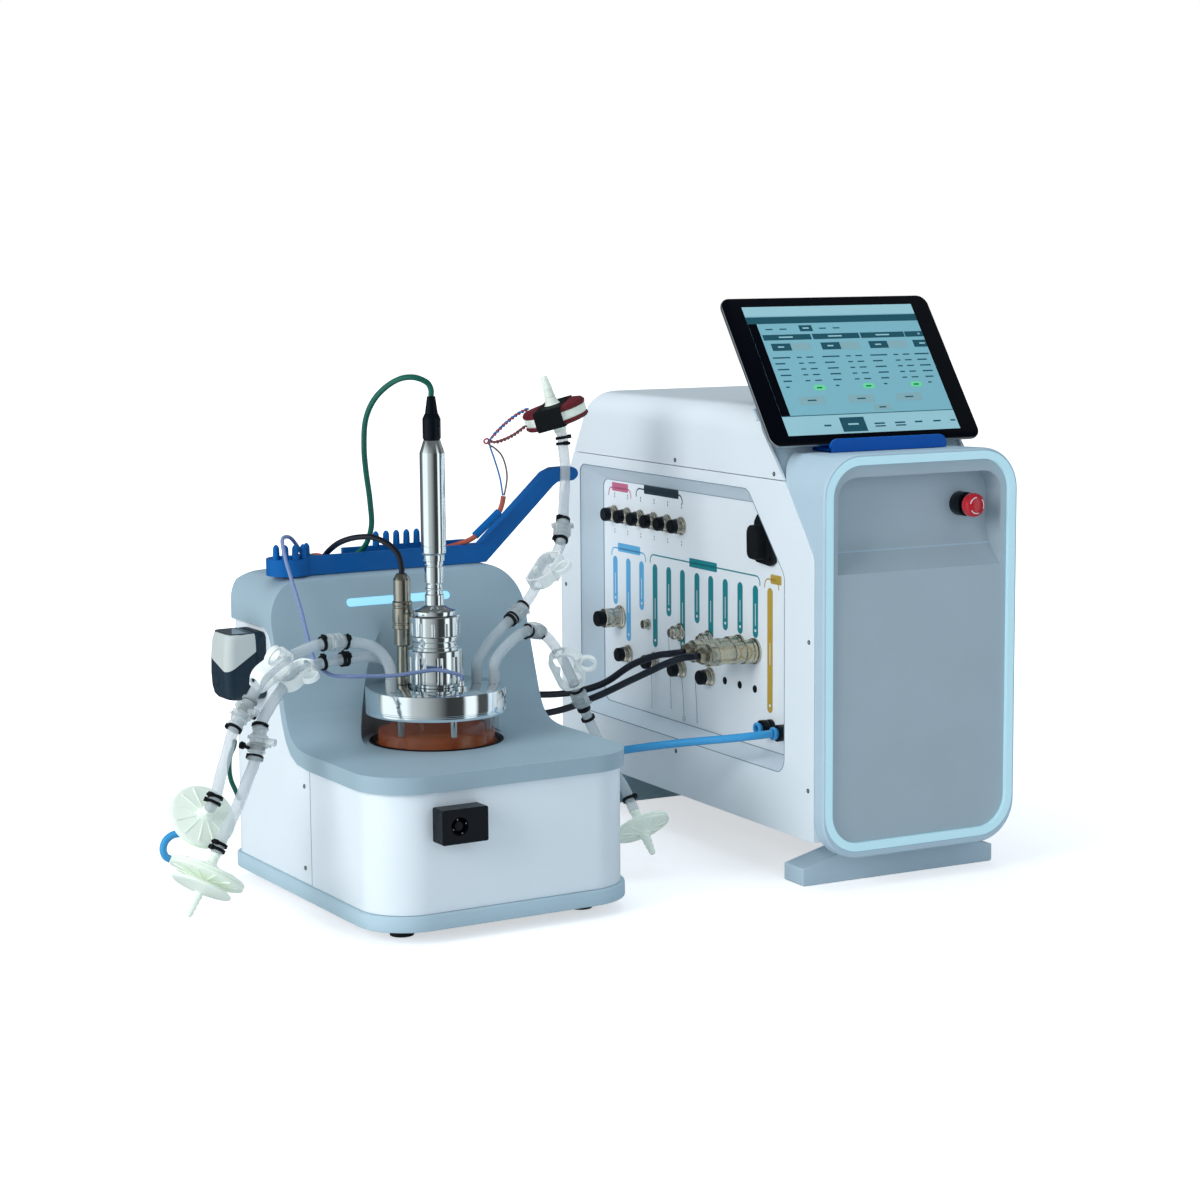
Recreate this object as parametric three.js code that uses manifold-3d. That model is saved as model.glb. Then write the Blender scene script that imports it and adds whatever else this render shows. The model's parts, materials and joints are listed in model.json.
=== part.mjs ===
// Bench bioreactor: a docking station with its vessel, and the control tower it is wired to.
// Units are millimetres, +Z is up, and both fronts face -Y.
import * as THREE from 'three';
import { mergeVertices } from 'three/addons/utils/BufferGeometryUtils.js';
import Module from 'manifold-3d';

const wasm = await Module();
wasm.setup();

// ---------------------------------------------------------------- driving dimensions
const GAP = 0.3;                   // gap between pieces that touch
const FAR = 900;                   // reach of a cutter that passes everything
const ORIGIN_X = 324.585;          // middle of the whole object, from the station's left front corner
const ORIGIN_Y = 227.035;

// docking station
const STATION_W = 267;
const STATION_D = 343;
const FRONT_CORNER_R = 50;
const REAR_CORNER_R = 30;
const FOOT_H = 12;
const FOOT_R = 11;
const PLINTH_H = 14.4;
const PLINTH_TOP = FOOT_H + PLINTH_H;
const SHELL_INSET = 4;
const SHELL_WALL = 3;
const SEAM_Y = 152.5;            // joint between the front and the rear shell
const DECK_TOP = 150;
const DECK_T = 15.2;
const DECK_UNDER = DECK_TOP - DECK_T;
const HEAD_TOP = 300;
const HEAD_UNDER = 254.8;
const HEAD_CORNER_R = 42;
const WALL_FOOT_Y = 196;         // where the leaning wall leaves the cove
const WALL_FOOT_Z = 180;
const WALL_LEAN = 0.342;         // run per rise of the leaning wall
const WALL_T = 10;
const LIGHT_W = 109;
const LIGHT_H = 8;
const LIGHT_Z = 273.5;

// vessel
const VX = STATION_W / 2;
const VY = 153;
const VESSEL_R = 58.5;
const VESSEL_WALL = 4;
const VESSEL_BASE_Z = 44;
const HOLE_R = 62.8;
const NICHE_R = 70;
const LINER_T = 3;
const LID_R = 65.5;
const LID_H = 23;
const LID_TOP = 200;
const LID_BOTTOM = LID_TOP - LID_H;
const LIQUID_TOP = 152;
const BED_R = 47;
const BED_Z0 = 68;
const BED_Z1 = 146;
const POST_R = 3.3;
const POST_CIRCLE = 49;
const TUBE_R = 5.2;
const STUB_H = 12;

// probe stack on the vessel's axis
const NUT_R = 25.7;
const NUT_Z = 203.8;
const NUT_H = 32;
const NECK_R = 21.8;
const NECK_H = 12;
const CAP_NUT_R = 23.6;
const CAP_NUT_H = 19;
const FLANGE_R = 20.3;
const FLANGE_H = 6;
const HOLDER_R = 8.8;
const HOLDER_TOP = 317;
const PROBE_R = 11.6;
const PROBE_TOP = 417;
const CONE_TOP = 428.8;
const CONE_R = 7.8;
const GLAND_HOUSING_R = 8.4;
const GLAND_TOP = 452.5;
const BOOT_TOP = 469;
const SENSOR_X = VX - 19.5;
const SENSOR_Y = VY + 28;
const SENSOR_H = 52;             // above the lid, up to its plug

// control tower
const TOWER_X = 442.9;           // left outer edge of the light ring, in the station's frame
const TOWER_Y = -35.2;
const TOWER_TURN = THREE.MathUtils.degToRad(-2.69);
const RING_W = 214.4;
const RING_Z0 = 36.8;
const RING_Z1 = 409.4;
const RING_R = 38;
const RING_BAND = 8;
const SIDE_OUT = 3;              // side panels outside the light ring
const BODY_X0 = -SIDE_OUT;
const BODY_X1 = RING_W + SIDE_OUT;
const BODY_BOTTOM = 46;
const BODY_FRONT = 16;           // front edge of the side panels, behind the bezel
const BODY_REAR = 535;
const ROOF_Z = 451;
const SEAM_Z = 384;
const SEAM_GAP = 0.8;
const ROOF_R = 26;
const SLOPE = [[18, 318], [39.3, 346], [73, 388], [127, 448]];
const SLOPE_SET = 3;             // grey slope set back from the side panels' edge
const SLOPE_T = 4;
const RECESS_DEPTH = 28;
const PLATE_T = 2.5;
const PITCH = 29.2;              // spacing of the socket columns
const FIELD_Y = 168.5;           // y of the first socket column
const ROW_Z = [317.5, 206.5, 168.5];
const BEZEL_TOP = 412;
const BEZEL_BOTTOM = 30;
const BEZEL_OUT = 2.4;           // bezel outside the light ring
const PANEL_SET = 4;
const ESTOP_X = RING_W - 46.4;
const ESTOP_Z = 357.5;
const ESTOP_TRAVEL = 4;
const UPPER_SET = 24;            // set-back of the stop button's field
const TABLET_W = 240;
const TABLET_H = 169.5;
const TABLET_T = 7.5;
const TABLET_LEAN = THREE.MathUtils.degToRad(36.1);
const TABLET_X = RING_W / 2 - TABLET_W / 2 - 0.6;
const TABLET_Y = 73;
const TABLET_Z = 415.7;

// ---------------------------------------------------------------- materials
const paint = (hex, roughness, metalness = 0) => {
  return new THREE.MeshStandardMaterial({ color: hex, roughness, metalness });
};
const MAT = {
  grey: paint(0x8fa6b2, 0.5),
  plinth: paint(0x93a8b4, 0.55),
  white: paint(0xe9f0f3, 0.4),
  rubber: paint(0x20262b, 0.85),
  black: paint(0x14171a, 0.45),
  blue: paint(0x0a4f9e, 0.35),
  light: paint(0xa9e4f7, 0.3),
  steel: paint(0xc9cdcf, 0.18, 1),
  satin: paint(0xaab0b4, 0.4, 1),
  nickel: paint(0xb5ae9f, 0.3, 1),
  glass: paint(0xcfdfe2, 0.05),
  amber: paint(0x8a3d12, 0.2),
  bed: paint(0xd9c39a, 0.8),
  cream: paint(0xd8d9cf, 0.5),
  pumpGrey: paint(0x3d474f, 0.6),
  clear: paint(0xd7e3e6, 0.25),
  filter: paint(0xe4e8d6, 0.45),
  red: paint(0xc4122a, 0.35),
  wrap: paint(0x7d1820, 0.8),
  green: paint(0x0d6a52, 0.5),
  violet: paint(0x7d80ad, 0.4),
  orange: paint(0xb0482c, 0.5),
  gasBlue: paint(0x2f8fd6, 0.35),
  towerGrey: paint(0x9fb0bd, 0.5),
};

// ---------------------------------------------------------------- solids
const toSolid = (geometry) => {
  const bare = geometry.index ? geometry.toNonIndexed() : geometry.clone();
  bare.deleteAttribute('normal');
  bare.deleteAttribute('uv');
  const merged = mergeVertices(bare, 1e-4);
  const mesh = new wasm.Mesh({
    numProp: 3,
    vertProperties: new Float32Array(merged.attributes.position.array),
    triVerts: new Uint32Array(merged.index.array),
  });
  return new wasm.Manifold(mesh);
};
const toGeometry = (solid) => {
  const mesh = solid.getMesh();
  const geometry = new THREE.BufferGeometry();
  geometry.setAttribute('position', new THREE.BufferAttribute(mesh.vertProperties, 3));
  geometry.setIndex(new THREE.BufferAttribute(mesh.triVerts, 1));
  return geometry;
};
const join = (...parts) => {
  return toGeometry(parts.map(toSolid).reduce((a, b) => a.add(b)));
};
const cut = (body, ...tools) => {
  return toGeometry(tools.map(toSolid).reduce((a, b) => a.subtract(b), toSolid(body)));
};
const common = (a, b) => toGeometry(toSolid(a).intersect(toSolid(b)));

// A closed outline from points; curves are given by extra points along them.
const outline = (points) => {
  const shape = new THREE.Shape();
  points.forEach(([a, b], i) => (i ? shape.lineTo(a, b) : shape.moveTo(a, b)));
  shape.closePath();
  return shape;
};
// Rounded rectangle; radii are [near left, near right, far right, far left].
const roundRect = (x0, y0, x1, y1, radii, steps = 5) => {
  const r = Array.isArray(radii) ? radii : [radii, radii, radii, radii];
  const centres = [
    [x0 + r[0], y0 + r[0], 180],
    [x1 - r[1], y0 + r[1], 270],
    [x1 - r[2], y1 - r[2], 0],
    [x0 + r[3], y1 - r[3], 90],
  ];
  const points = [];
  centres.forEach(([cx, cy, start], k) => {
    const n = r[k] > 0 ? steps : 0;
    for (let i = 0; i <= n; i += 1) {
      const a = THREE.MathUtils.degToRad(start + (n ? (90 * i) / n : 0));
      points.push([cx + r[k] * Math.cos(a), cy + r[k] * Math.sin(a)]);
    }
  });
  return points;
};
const extrude = (shape, depth) => {
  return new THREE.ExtrudeGeometry(shape, { depth, bevelEnabled: false, curveSegments: 8 });
};
const extrudeZ = (points, z0, z1) => extrude(outline(points), z1 - z0).translate(0, 0, z0);
// points are (y, z), swept along X
const extrudeX = (points, x0, x1) => {
  const m = new THREE.Matrix4().set(0, 0, 1, x0, 1, 0, 0, 0, 0, 1, 0, 0, 0, 0, 0, 1);
  return extrude(outline(points), x1 - x0).applyMatrix4(m);
};
// points are (x, z), swept along Y
const extrudeY = (points, y0, y1) => {
  const m = new THREE.Matrix4().set(1, 0, 0, 0, 0, 0, -1, y1, 0, 1, 0, 0, 0, 0, 0, 1);
  return extrude(outline(points), y1 - y0).applyMatrix4(m);
};
const box = (x0, x1, y0, y1, z0, z1) => {
  return new THREE.BoxGeometry(x1 - x0, y1 - y0, z1 - z0)
    .translate((x0 + x1) / 2, (y0 + y1) / 2, (z0 + z1) / 2);
};
// profile of (radius, height) pairs turned about +Z
const turned = (profile, segments = 24) => {
  const points = profile.map(([r, z]) => new THREE.Vector2(r, z));
  return new THREE.LatheGeometry(points, segments).rotateX(Math.PI / 2);
};
const rod = (x, y, z0, z1, r, segments = 24) => {
  return turned([[0, z0], [r, z0], [r, z1], [0, z1]], segments).translate(x, y, 0);
};
const ring = (x, y, z0, z1, rIn, rOut, segments = 28) => {
  return turned([[rIn, z0], [rOut, z0], [rOut, z1], [rIn, z1], [rIn, z0]], segments)
    .translate(x, y, 0);
};
// a rod along X from x0 to x1
const rodX = (x0, x1, y, z, r, segments = 16) => {
  return turned([[0, 0], [r, 0], [r, x1 - x0], [0, x1 - x0]], segments)
    .rotateY(Math.PI / 2)
    .translate(x0, y, z);
};
const rodY = (y0, y1, x, z, r, segments = 16) => {
  return turned([[0, 0], [r, 0], [r, y1 - y0], [0, y1 - y0]], segments)
    .rotateX(-Math.PI / 2)
    .translate(x, y0, z);
};
// turned profile laid from point a towards point b
const turnedAlong = (profile, a, b, segments = 12) => {
  const from = new THREE.Vector3(...a);
  const dir = new THREE.Vector3(...b).sub(from).normalize();
  const q = new THREE.Quaternion().setFromUnitVectors(new THREE.Vector3(0, 0, 1), dir);
  return turned(profile, segments).applyQuaternion(q).translate(from.x, from.y, from.z);
};
const tube = (points, diameter, steps, sides = 8) => {
  const path = new THREE.CatmullRomCurve3(points.map((p) => new THREE.Vector3(...p)));
  const section = new THREE.Shape();
  for (let i = 0; i < sides; i += 1) {
    const a = (2 * Math.PI * i) / sides;
    const x = (diameter / 2) * Math.cos(a);
    const y = (diameter / 2) * Math.sin(a);
    if (i) section.lineTo(x, y);
    else section.moveTo(x, y);
  }
  section.closePath();
  return new THREE.ExtrudeGeometry(section, { steps, extrudePath: path, bevelEnabled: false });
};

// ---------------------------------------------------------------- assembly
const object = new THREE.Group();
const station = new THREE.Group();
station.position.set(-ORIGIN_X, -ORIGIN_Y, 0);
const tower = new THREE.Group();
tower.position.set(TOWER_X, TOWER_Y, 0);
tower.rotation.z = TOWER_TURN;
station.add(tower);
object.add(station);
const place = (group, name, geometry, material) => {
  const mesh = new THREE.Mesh(geometry, material);
  mesh.name = name;
  group.add(mesh);
  return mesh;
};

// ---------------------------------------------------------------- docking station
const footprint = (inset) => {
  const f = FRONT_CORNER_R - inset;
  const b = REAR_CORNER_R - inset;
  return roundRect(inset, inset, STATION_W - inset, STATION_D - inset, [f, f, b, b], 5);
};
const wallY = (z) => WALL_FOOT_Y + WALL_LEAN * (z - WALL_FOOT_Z);

// plinth with its four rubber feet
const footPlaces = [
  [42, 46],
  [STATION_W - 42, 46],
  [42, STATION_D - 42],
  [STATION_W - 42, STATION_D - 42],
];
const footProfile = [[0, 0], [FOOT_R, 0], [FOOT_R - 1.6, FOOT_H + 1], [0, FOOT_H + 1]];
const feet = footPlaces.map(([x, y]) => turned(footProfile, 10).translate(x, y, 0));
const plinthLip = extrudeZ(footprint(1.2), FOOT_H, PLINTH_TOP);
const plinthBelt = extrudeZ(footprint(0), FOOT_H + 1.2, PLINTH_TOP - 1.2);
place(station, 'station_plinth', join(plinthLip, plinthBelt, ...feet), MAT.plinth);

// the front shell wraps the front between two side seams
const shellZ0 = PLINTH_TOP + GAP;
const shellZ1 = DECK_UNDER - GAP;
const frontOnly = box(-FAR, FAR, -FAR, SEAM_Y, 0, FAR);
const shellOuter = extrudeZ(footprint(SHELL_INSET), shellZ0, shellZ1);
const shellInner = extrudeZ(footprint(SHELL_INSET + SHELL_WALL), shellZ0 - 1, shellZ1 + 1);
const socketHole = box(60, 92, -5, 20, 96, 116);
place(station, 'station_front_shell', cut(common(shellOuter, frontOnly), shellInner, socketHole), MAT.white);

// underside of the top moulding, as seen from the side
const underside = [
  [150, DECK_UNDER],
  [172, DECK_UNDER + 2],
  [186, 143],
  [196, 154],
  [WALL_FOOT_Y + WALL_T - 2, 170],
  [wallY(240) + WALL_T - 1, 240],
  [wallY(240) + WALL_T + 4, 249],
  [wallY(240) + WALL_T + 14, HEAD_UNDER],
];
const frontFace = [
  [148, DECK_TOP],
  [160, DECK_TOP + 0.8],
  [172, DECK_TOP + 3.2],
  [182, DECK_TOP + 8],
  [190, DECK_TOP + 17],
  [WALL_FOOT_Y, WALL_FOOT_Z],
  [wallY(HEAD_TOP - 8), HEAD_TOP - 8],
  [wallY(HEAD_TOP - 8) + 4, HEAD_TOP - 2],
  [wallY(HEAD_TOP - 8) + 10, HEAD_TOP],
];
const headRear = [
  [STATION_D - 26, HEAD_TOP],
  [STATION_D - 12, HEAD_TOP - 4],
  [STATION_D - 3, HEAD_TOP - 13],
  [STATION_D, HEAD_TOP - 26],
  [STATION_D, HEAD_UNDER],
];
const deckFront = [[0, DECK_UNDER], [0, DECK_TOP - 5], [1.5, DECK_TOP - 1.5], [5, DECK_TOP]];
const mouldingSide = [...deckFront, ...frontFace, ...headRear, ...[...underside].reverse()];
const bulkSide = [...deckFront, ...frontFace, ...headRear, [STATION_D, DECK_UNDER]];
const headFront = roundRect(0, 0, STATION_W, HEAD_TOP, [0, 0, HEAD_CORNER_R, HEAD_CORNER_R], 6);
const planMask = extrudeZ(footprint(0), 0, FAR);
const frontMask = extrudeY(headFront, -5, STATION_D + 5);
const sheet = common(common(extrudeX(mouldingSide, 0, STATION_W), planMask), frontMask);
const liner = common(
  rod(VX, VY, DECK_UNDER, 262, NICHE_R + LINER_T, 32),
  extrudeX(bulkSide, 20, STATION_W - 20),
);
const niche = rod(VX, VY, DECK_TOP, 290, NICHE_R, 32);
const deckHole = rod(VX, VY, 100, 290, HOLE_R, 24);
const lightSlot = (inset) => {
  const y = wallY(LIGHT_Z);
  const half = LIGHT_W / 2 - inset;
  const h = LIGHT_H / 2 - inset;
  return roundRect(VX - half, LIGHT_Z - h, VX + half, LIGHT_Z + h, h - 0.2, 4);
};
const lightCut = extrudeY(lightSlot(0), wallY(LIGHT_Z) - 8, wallY(LIGHT_Z) + 3.5);
place(
  station,
  'station_top_moulding',
  cut(join(sheet, liner), niche, deckHole, lightCut),
  MAT.grey,
);
const lightFace = [
  [wallY(LIGHT_Z - 8) - 0.4, LIGHT_Z - 8],
  [wallY(LIGHT_Z + 8) - 0.4, LIGHT_Z + 8],
  [wallY(LIGHT_Z) + 3.2, LIGHT_Z + 8],
  [wallY(LIGHT_Z) + 3.2, LIGHT_Z - 8],
];
const lightBody = common(
  extrudeY(lightSlot(GAP), wallY(LIGHT_Z) - 8, wallY(LIGHT_Z) + 3.2),
  extrudeX(lightFace, 0, STATION_W),
);
place(station, 'station_status_light', lightBody, MAT.light);

// the rear shell closes the body behind the seam and under the head
const rearSide = [
  [SEAM_Y + 0.5, shellZ0],
  [SEAM_Y + 0.5, DECK_UNDER - 0.5],
  ...underside.slice(1).map(([y, z]) => [y + 0.6, z - 0.6]),
  [STATION_D, HEAD_UNDER - 0.6],
  [STATION_D, shellZ0],
];
const rearMask = extrudeZ(footprint(SHELL_INSET), 0, FAR);
const well = rod(VX, VY, shellZ0 - 1, 270, NICHE_R + LINER_T + 1, 32);
const rearSolid = common(extrudeX(rearSide, 0, STATION_W), rearMask);
// cable glands on the back, as (x, z): the four leads side by side, then power and gas
const GLAND_R = 4.2;
const GLAND_OUT = 6;
const LEAD_X = [64, 73, 82, 91];
const LEAD_Z = 230;
const POWER_GLANDS = [[STATION_W - 35, 118], [STATION_W - 53, 140]];
const GAS_GLAND = [STATION_W - 35, 74];
const shellBack = STATION_D - SHELL_INSET;
const glandPlaces = [...LEAD_X.map((x) => [x, LEAD_Z]), ...POWER_GLANDS, GAS_GLAND];
const glandBosses = glandPlaces.map(([x, z]) => {
  return rodY(shellBack - 2, shellBack + GLAND_OUT, x, z, GLAND_R, 8);
});
place(station, 'station_rear_shell', join(cut(rearSolid, well), ...glandBosses), MAT.white);

// ---------------------------------------------------------------- front socket box
const SOCKET_X0 = 53;
const SOCKET_X1 = 98;
const SOCKET_Z0 = 90.5;
const SOCKET_Z1 = 121.5;
const SOCKET_OUT = 19;
const socketY = SHELL_INSET - SOCKET_OUT;
const socketPoints = roundRect(SOCKET_X0, SOCKET_Z0, SOCKET_X1, SOCKET_Z1, 1.5, 2);
const socketMouth = rodY(socketY - 1, socketY + 12, 68, 106, 8.2, 16);
const socketBody = cut(extrudeY(socketPoints, socketY, SHELL_INSET - GAP), socketMouth);
const socketCore = rodY(socketY + 2, SHELL_INSET - 2, 68, 106, 4.2, 14);
place(station, 'front_socket_box', join(socketBody, socketCore), MAT.black);

// ---------------------------------------------------------------- vessel
const seatBase = VESSEL_BASE_Z - GAP;
const seatProfile = [
  [24, shellZ0],
  [66, shellZ0],
  [66, 60],
  [VESSEL_R + 0.5, 60],
  [VESSEL_R + 0.5, seatBase],
  [0, seatBase],
  [0, seatBase - 3.7],
  [24, seatBase - 3.7],
  [24, shellZ0],
];
// the seat holds the stirrer motor on two cross bars
const motor = rod(VX, VY, shellZ0, 33, 17, 16);
const crossBar = box(VX - 26, VX + 26, VY - 4, VY + 4, shellZ0, 30);
const seat = join(turned(seatProfile, 24).translate(VX, VY, 0), motor, crossBar);
place(station, 'vessel_seat', seat, MAT.satin);
const driveArms = join(
  rod(VX, VY, 33.4, 36, 6, 12),
  box(VX - 20, VX + 20, VY - 5, VY + 5, 35, 39.5),
  box(VX - 5, VX + 5, VY - 20, VY + 20, 35, 39.5),
);
place(station, 'drive_magnet', driveArms, MAT.satin);

const vesselIn = VESSEL_R - VESSEL_WALL;
const vesselProfile = [
  [0, VESSEL_BASE_Z],
  [VESSEL_R - 3, VESSEL_BASE_Z],
  [VESSEL_R, VESSEL_BASE_Z + 3],
  [VESSEL_R, LID_BOTTOM - GAP],
  [vesselIn, LID_BOTTOM - GAP],
  [vesselIn, VESSEL_BASE_Z + VESSEL_WALL],
  [0, VESSEL_BASE_Z + VESSEL_WALL],
];
place(station, 'vessel_glass', turned(vesselProfile, 24).translate(VX, VY, 0), MAT.glass);
const sealRing = ring(VX, VY, DECK_TOP - 4, DECK_TOP + 0.8, VESSEL_R + GAP, HOLE_R - GAP, 24);
place(station, 'vessel_seal_ring', sealRing, MAT.rubber);

const IMPELLER_Z = VESSEL_BASE_Z + VESSEL_WALL + GAP + 3;
const blades = [];
for (let i = 0; i < 4; i += 1) {
  const blade = box(4, 27, -1.2, 1.2, IMPELLER_Z, IMPELLER_Z + 9).rotateZ((i * Math.PI) / 2);
  blades.push(blade.translate(VX, VY, 0));
}
const impeller = join(rod(VX, VY, IMPELLER_Z - 3, IMPELLER_Z + 10, 8, 20), ...blades);
place(station, 'impeller', impeller, MAT.steel);

// carrier bed in a basket that hangs on three posts under the lid
const postAt = (deg) => {
  const a = THREE.MathUtils.degToRad(deg);
  return [VX + POST_CIRCLE * Math.cos(a), VY + POST_CIRCLE * Math.sin(a)];
};
const DIP_ANGLE = -98;
const postAngles = [DIP_ANGLE + 60, DIP_ANGLE + 180, DIP_ANGLE + 300];
const posts = postAngles.map((deg) => rod(...postAt(deg), BED_Z0 - 4, LID_BOTTOM - GAP, POST_R, 8));
const basketFloor = ring(VX, VY, BED_Z0 - 5, BED_Z0 - 2, 10, POST_CIRCLE + POST_R + 0.6, 20);
place(station, 'bed_basket', join(basketFloor, ...posts), MAT.steel);
const bedSolid = ring(VX, VY, BED_Z0 - 1.7, BED_Z1, 9, BED_R, 24);
const postClear = [...postAngles, DIP_ANGLE].map((deg) => {
  return rod(...postAt(deg), BED_Z0 - 10, LID_BOTTOM, POST_R + 0.6, 8);
});
place(station, 'carrier_bed', cut(bedSolid, ...postClear), MAT.bed);
const liquidSolid = turned(
  [
    [BED_R + GAP, BED_Z0 - 1.5],
    [vesselIn - GAP, BED_Z0 - 1.5],
    [vesselIn - GAP, LIQUID_TOP],
    [0, LIQUID_TOP],
    [0, BED_Z1 + GAP],
    [BED_R + GAP, BED_Z1 + GAP],
    [BED_R + GAP, BED_Z0 - 1.5],
  ],
  24,
).translate(VX, VY, 0);
place(station, 'culture_liquid', cut(liquidSolid, ...postClear), MAT.amber);
// lid with its stubs; the stubs carry the clear hoses
const LID_STUBS = [[-49.5, -7], [-41.5, 9], [42.5, -1], [53.5, -15]].map(([x, y]) => [VX + x, VY + y]);
const FRONT_PORT = [VX + 9.5, VY - 34];
const lidDisc = turned(
  [
    [0, LID_BOTTOM],
    [LID_R - 1, LID_BOTTOM],
    [LID_R, LID_BOTTOM + 1],
    [LID_R, LID_TOP - 1],
    [LID_R - 1, LID_TOP],
    [0, LID_TOP],
  ],
  36,
).translate(VX, VY, 0);
const stubs = LID_STUBS.map(([x, y]) => rod(x, y, LID_TOP - 1, LID_TOP + STUB_H, 3.2, 6));
const dipTube = rod(...postAt(DIP_ANGLE), BED_Z0, LID_BOTTOM + 1, POST_R, 8);
const frontPort = join(
  rod(...FRONT_PORT, LID_TOP - 1, LID_TOP + 4, 4.6, 6),
  rod(...FRONT_PORT, LID_TOP - 1, LID_TOP + 9, 2.4, 8),
);
place(station, 'vessel_lid', join(lidDisc, frontPort, dipTube, ...stubs), MAT.steel);

// clamping nut with flutes round its skirt
const fluted = (r, z0, z1, count, fluteR, segments) => {
  const body = turned([[0, z0], [r - 1, z0], [r, z0 + 1], [r, z1 - 1], [r - 1, z1], [0, z1]], segments);
  const flutes = [];
  for (let i = 0; i < count; i += 1) {
    const a = (2 * Math.PI * i) / count;
    const c = r + fluteR * 0.55;
    flutes.push(rod(c * Math.cos(a), c * Math.sin(a), z0 - 1, z1 - 6, fluteR, 5));
  }
  return cut(body, ...flutes).translate(VX, VY, 0);
};
const neckZ1 = NUT_Z + NUT_H + NECK_H;
const nutBody = fluted(NUT_R, NUT_Z, NUT_Z + NUT_H, 10, 4, 30);
const nutSpigot = rod(VX, VY, LID_TOP + GAP, NUT_Z + 1, 19, 16);
const nutNeck = rod(VX, VY, NUT_Z + NUT_H - 1, neckZ1, NECK_R, 24);
place(station, 'lid_clamp_nut', join(nutBody, nutSpigot, nutNeck), MAT.steel);
const capZ0 = neckZ1 + GAP;
const capZ1 = capZ0 + CAP_NUT_H;
place(station, 'probe_cap_nut', fluted(CAP_NUT_R, capZ0, capZ1, 12, 1.8, 24), MAT.steel);
const flangeZ1 = capZ1 + GAP + FLANGE_H;
const holder = turned(
  [
    [0, capZ1 + GAP],
    [FLANGE_R, capZ1 + GAP],
    [FLANGE_R, flangeZ1 - 2],
    [HOLDER_R + 5, flangeZ1],
    [HOLDER_R, flangeZ1 + 3],
    [HOLDER_R, 286],
    [HOLDER_R - 1, 286.6],
    [HOLDER_R - 1, 296],
    [HOLDER_R, 297],
    [HOLDER_R, HOLDER_TOP],
    [0, HOLDER_TOP],
  ],
  14,
).translate(VX, VY, 0);
const crossHoles = [303, 308].map((z) => rodY(VY - 20, VY - 4, VX + 2, z, 1.3, 6));
place(station, 'probe_holder', cut(holder, ...crossHoles), MAT.steel);
const probe = turned(
  [
    [0, HOLDER_TOP + GAP],
    [PROBE_R - 1.6, HOLDER_TOP + GAP],
    [PROBE_R - 1.6, HOLDER_TOP + 6],
    [PROBE_R, HOLDER_TOP + 8],
    [PROBE_R, PROBE_TOP],
    [CONE_R, CONE_TOP],
    [0, CONE_TOP],
  ],
  18,
).translate(VX, VY, 0);
place(station, 'probe_body', probe, MAT.steel);
const gland = turned(
  [
    [0, CONE_TOP + GAP],
    [GLAND_HOUSING_R - 1, CONE_TOP + GAP],
    [GLAND_HOUSING_R, CONE_TOP + 2],
    [GLAND_HOUSING_R, GLAND_TOP - 4],
    [GLAND_HOUSING_R - 2, GLAND_TOP],
    [3.8, BOOT_TOP],
    [0, BOOT_TOP],
  ],
  14,
).translate(VX, VY, 0);
place(station, 'probe_gland', gland, MAT.black);

const plugZ = LID_TOP + SENSOR_H;
const SENSOR_TOP = plugZ + 52;
const sensorProfile = [
  [0, LID_TOP + GAP],
  [7.5, LID_TOP + GAP],
  [7.5, LID_TOP + 8],
  [5.6, LID_TOP + 9],
  [5.6, plugZ - 16],
  [8, plugZ - 15],
  [8, plugZ],
  [9.5, plugZ + 0.5],
  [9.5, plugZ + 25],
  [8.1, plugZ + 26],
  [8.1, plugZ + 46],
  [5, SENSOR_TOP],
  [0, SENSOR_TOP],
];
place(station, 'lid_sensor', turned(sensorProfile, 12).translate(SENSOR_X, SENSOR_Y, 0), MAT.nickel);

// ---------------------------------------------------------------- cable tray
const TRAY_Z0 = HEAD_TOP + GAP;
const TRAY_FRONT = STATION_D - 100;
const TRAY_BACK = TRAY_FRONT + 49;
const TRAY_END = STATION_W - 31;
const POD_X = 34;
const POD_Y = TRAY_FRONT + 15;
const POD_R = 21;
const TRAY_WALL_H = 18;
const TRAY_WALL = 5;
const TOOTH_PITCH = 11;
const TEETH = 5;
const trayFloor = extrudeZ(roundRect(28, TRAY_FRONT, TRAY_END, TRAY_BACK, 4, 3), TRAY_Z0, TRAY_Z0 + 4);
const trayFront = box(32, TRAY_END, TRAY_FRONT, TRAY_FRONT + TRAY_WALL, TRAY_Z0, TRAY_Z0 + TRAY_WALL_H);
const trayBack = box(104, TRAY_END, TRAY_BACK - TRAY_WALL, TRAY_BACK, TRAY_Z0, TRAY_Z0 + TRAY_WALL_H);
const pod = rod(POD_X, POD_Y, TRAY_Z0, TRAY_Z0 + 16, POD_R, 20);
const combTeeth = [];
for (let i = 0; i < TEETH; i += 1) {
  const a = THREE.MathUtils.degToRad(205 + 32 * i);
  const x = POD_X + (POD_R - 4) * Math.cos(a);
  const y = POD_Y + (POD_R - 4) * Math.sin(a);
  combTeeth.push(turned([[0, 0], [3.4, 0], [3, 12], [0, 15]], 6).translate(x, y, TRAY_Z0 + 15));
}
const rowTooth = turned([[0, 0], [3, 0], [2.6, 13], [0, 16]], 6)
  .translate(140, TRAY_BACK - TRAY_WALL / 2, TRAY_Z0 + TRAY_WALL_H - 1);
for (let i = 0; i < TEETH; i += 1) combTeeth.push(rowTooth.clone().translate(TOOTH_PITCH * i, 0, 0));
const armSide = [
  [208, TRAY_Z0],
  [236, TRAY_Z0],
  [312, 371],
  [318, 374.5],
  [334, 375],
  [339, 378.5],
  [340, 382],
  [338, 386],
  [333, 388.5],
  [314, 388],
  [304, 384],
  [232, TRAY_Z0 + TRAY_WALL_H],
  [208, TRAY_Z0 + TRAY_WALL_H],
];
const arm = extrudeY(armSide, TRAY_FRONT, TRAY_FRONT + 14);
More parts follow.
